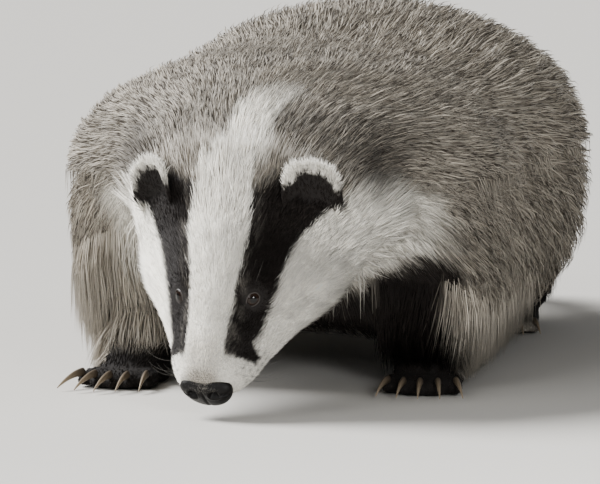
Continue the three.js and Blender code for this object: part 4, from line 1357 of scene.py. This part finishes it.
def drape_fur(triangles, count):
    """Long hair that hangs free, not along the skin: over the tops of the forelegs, and from the
    lower flanks almost to the floor."""
    x, y, z = triangles[2].T
    faces_ahead = triangles[1].mean(1)[:, 1] < -0.25
    over_legs = (np.abs(x + 8) > 72) & (y < 62) & faces_ahead & (z > 40) & (z < np.where(x < 0, 118, 84))
    over_legs &= to_head(triangles[2])[:, 1] >= 150
    flanks = (np.abs(x + 8) > 122) & (y > -10) & (y < 250) & (z > 16) & (z < 92)
    weight = np.maximum(over_legs * 1.6, flanks * (1 - step(y, 120, 250)))
    roots, out = scatter_on(triangles, weight, count)
    way = DOWN + np.array([0, 0.22, 0]) + 0.07 * rng.normal(size=(count, 3))
    way = way + 0.12 * ripple(roots, 24)[:, None] * np.array([1.0, 1.0, 0])
    length = rng.uniform(44, 70, count)
    length = np.minimum(length, np.maximum(roots[:, 2] - rng.uniform(3, 14, count), 6))
    lift = np.radians(rng.uniform(7, 20, count))
    width = rng.uniform(0.4, 0.6, count)
    marks = markings(roots + DOWN * 4, out)
    tones = 1 + 0.12 * ripple(roots * np.array([1, 1, 0.3]), 9)
    place = np.stack([turn_share(roots[:, 2] - 150, roots[:, 0]), (roots[:, 1] + 160) / 820], -1)
    short_fur("fur_drape", roots, out, way, length, lift, width, marks, np.mod(place, 1), "coat",
              points=3, tones=tones, bend=0.6)


def rump_fur(triangles, count):
    """Hair that closes the coat where the tail leaves the trunk, and at the tail's tip."""
    x, y, z = triangles[2].T
    root = (y > 526) & (y < 575) & (np.hypot(x + 13, z - 158) < 55)
    roots, out = scatter_on(triangles, 1.0 * root + 2.5 * (y > 636), count)
    tip = (roots[:, 1] > 600)[:, None]
    way = np.where(tip, [0, 0.52, -0.85], [0, 0.87, -0.49]) + 0.08 * rng.normal(size=(count, 3))
    rise = np.arcsin(np.clip((out * unit(way)).sum(-1), 0.1, 0.95)) * rng.uniform(0.8, 1.0, count) + 0.06
    length = rng.uniform(30, 44, count) - 12 * tip[:, 0]
    width = rng.uniform(0.6, 0.9, count)
    marks = np.where(tip, TAIL_MARKS, markings(roots, out))
    # the tail sinks as it runs back
    turn = turn_share(roots[:, 2] - 300 + 0.33 * (roots[:, 1] - 110), roots[:, 0] + 12)
    place = np.stack([turn, np.clip((roots[:, 1] - 510) / 150, 0, 1)], -1)
    short_fur("fur_rump", roots, out, way, length, rise, width, marks, place, "coat", points=3)


def add_whiskers():
    """Long single hairs on the muzzle's sides and over the eyes."""
    spots = []
    for way in SIDES:
        spots += [(way * 20, back, up) for back, up in ((18, 1), (25, 2), (20, -5), (28, -6), (24, -10))]
        spots += [(way * 27, 78, 24)]
    spots = np.array(spots, float)
    local = head_local(*grid(np.linspace(0, 0.6, 120), np.linspace(0, 2 * math.pi, 360))).reshape(-1, 3)
    roots = np.array([nearest(local, spot) for spot in spots])
    brow = spots[:, 1:2] > 60
    out = np.where(brow, [0.5, 0.3, 0.9], [0.85, -0.25, 0.1]) * mirrored(np.sign(spots[:, 0]))
    length = np.where(brow[:, 0], 18, rng.uniform(18, 34, len(spots)))
    shares = np.linspace(0, 1, 8)
    spine = []
    for share in shares:
        curve = out + share * np.array([0, 0.5, -0.12]) + 0.05 * np.sin(9 * spots[:, :1])
        spine.append(roots + unit(curve) * (share * length)[:, None])
    spine = from_head(np.stack(spine, 1))
    out = np.tile(HEAD_UP, (len(spots), 1))
    fur_piece("whiskers", spine, out, 0.11, (0.1, 0.9, 0.0), head_unwrap(roots), "face_fur", shares=shares)


def many(count):
    return int(count * (1.0))


def add_coat():
    """Adds every piece of fur, from the nose back."""
    triangles = skin_triangles(skin)
    head_fur("fur_muzzle", triangles, (5.5, 62), many(24000),
             lambda back: 1.0 + 0.6 * step(-back, -40, -15))
    head_fur("fur_forehead", triangles, (55, 106), many(30000),
             lambda back: step(back, 55, 62) * (1 - step(back, 100, 106)))
    head_fur("fur_crown", triangles, (98, 152), many(16000), lambda back: step(back, 98, 104), points=3)
    pad_fur(many(2600))
    ear_fur(triangles, many(6000))
    leg_fur(triangles, many(10000))
    drape_fur(triangles, many(14000))
    add_whiskers()
    for name, (start, end, count, width) in TRUNK_FUR.items():
        trunk_fur(name, many(count), (start, end), width)
    tail_fur(many(5600))
    rump_fur(triangles, many(3200))


add_coat()


# Camera, light and floor

TURN, RISE = math.radians(13.5), math.radians(5.5)  # how far the camera stands round and above
CAMERA_RIGHT = Vector((math.cos(TURN), math.sin(TURN), 0))
CAMERA_BACK = Vector((math.sin(TURN) * math.cos(RISE), -math.cos(TURN) * math.cos(RISE), math.sin(RISE)))
CAMERA_UP = CAMERA_BACK.cross(CAMERA_RIGHT)
# where the nose tip is seen: right, up and back of the camera, in metres
NOSE_SEEN = (-0.0650, -0.1027, -2.600)
FOCAL_LENGTH, PICTURE_WIDTH = 3890, 600  # in pixels
SENSOR_WIDTH = 36
FLOOR_HALF = 30  # half the floor's width, in metres
LIT = Vector((0, 0.05, 0.12))  # where the lamps are aimed
GLINT_RISE = 0.22  # how far up the spark stands from the middle of the eye, for a radius of 1


def add_camera():
    """The camera, turned and raised as the photo shows, and moved until it sees the nose in its place."""
    camera = bpy.data.objects.new("camera", bpy.data.cameras.new("camera"))
    bpy.context.scene.collection.objects.link(camera)
    turn = Matrix((CAMERA_RIGHT, CAMERA_UP, CAMERA_BACK)).transposed()
    place = Vector(to_frame(NOSE_TIP)) - turn @ Vector(NOSE_SEEN)
    camera.matrix_world = Matrix.Translation(place) @ turn.to_4x4()
    camera.data.sensor_width = SENSOR_WIDTH
    camera.data.lens = FOCAL_LENGTH * SENSOR_WIDTH / PICTURE_WIDTH
    camera.data.clip_end = 50
    bpy.context.scene.camera = camera


def add_light(name, kind, place, size, strength):
    """A soft light aimed at the badger: a square of this size in metres, or a sun of this width in
    radians."""
    light = bpy.data.objects.new(name, bpy.data.lights.new(name, kind))
    bpy.context.scene.collection.objects.link(light)
    setattr(light.data, "size" if kind == "AREA" else "angle", size)
    light.data.energy = strength
    light.location = place
    light.rotation_euler = (LIT - Vector(place)).to_track_quat("-Z", "Y").to_euler()


def glint_place(far):
    """Where a small lamp, this many metres off, shows as a spark high on the badger's left eye: the
    camera's direction, mirrored in the eye's surface there."""
    middle, out = LOOKS[1]
    upright = unit(out - GLINT_RISE * DOWN)
    spot = to_frame(middle + EYE["radius"] * upright)
    view = unit(np.array(bpy.context.scene.camera.matrix_world.translation) - spot)
    return tuple(spot + far * (2 * (upright @ view) * upright - view))


def add_floor():
    """A plain pale floor, wide enough for every side: matt studio paper."""
    made, _, _ = material("studio_paper", Base_Color=(*linear("#c9c6c0"), 1), Roughness=0.9)
    low = min(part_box("forepaw_left")[0][2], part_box("hindpaw_left")[0][2])
    corners = [(x * FLOOR_HALF, y * FLOOR_HALF, low) for x, y in ((-1, -1), (1, -1), (1, 1), (-1, 1))]
    floor = new_piece("floor", corners, [[0, 1, 2, 3]])
    floor.data.materials.append(made)


def add_sky():
    """An even grey light from all round."""
    world = bpy.data.worlds.new("studio")
    world.use_nodes = True
    sky = world.node_tree.nodes["Background"]
    sky.inputs["Color"].default_value = (0.66, 0.67, 0.68, 1)
    sky.inputs["Strength"].default_value = 0.32
    bpy.context.scene.world = world


add_camera()
# a high sun on the animal's right, a broad lamp in front, and a small one that the eye mirrors
add_light("key", "SUN", (-2.6, 0.5, 2.7), 0.5, 8.5)
add_light("front", "AREA", (-1.4, -3.1, 1.7), 2.2, 56)
add_light("glint", "AREA", glint_place(0.9), 0.2, 4.5)
add_sky()
bpy.context.scene.view_settings.view_transform = "AgX"
add_floor()
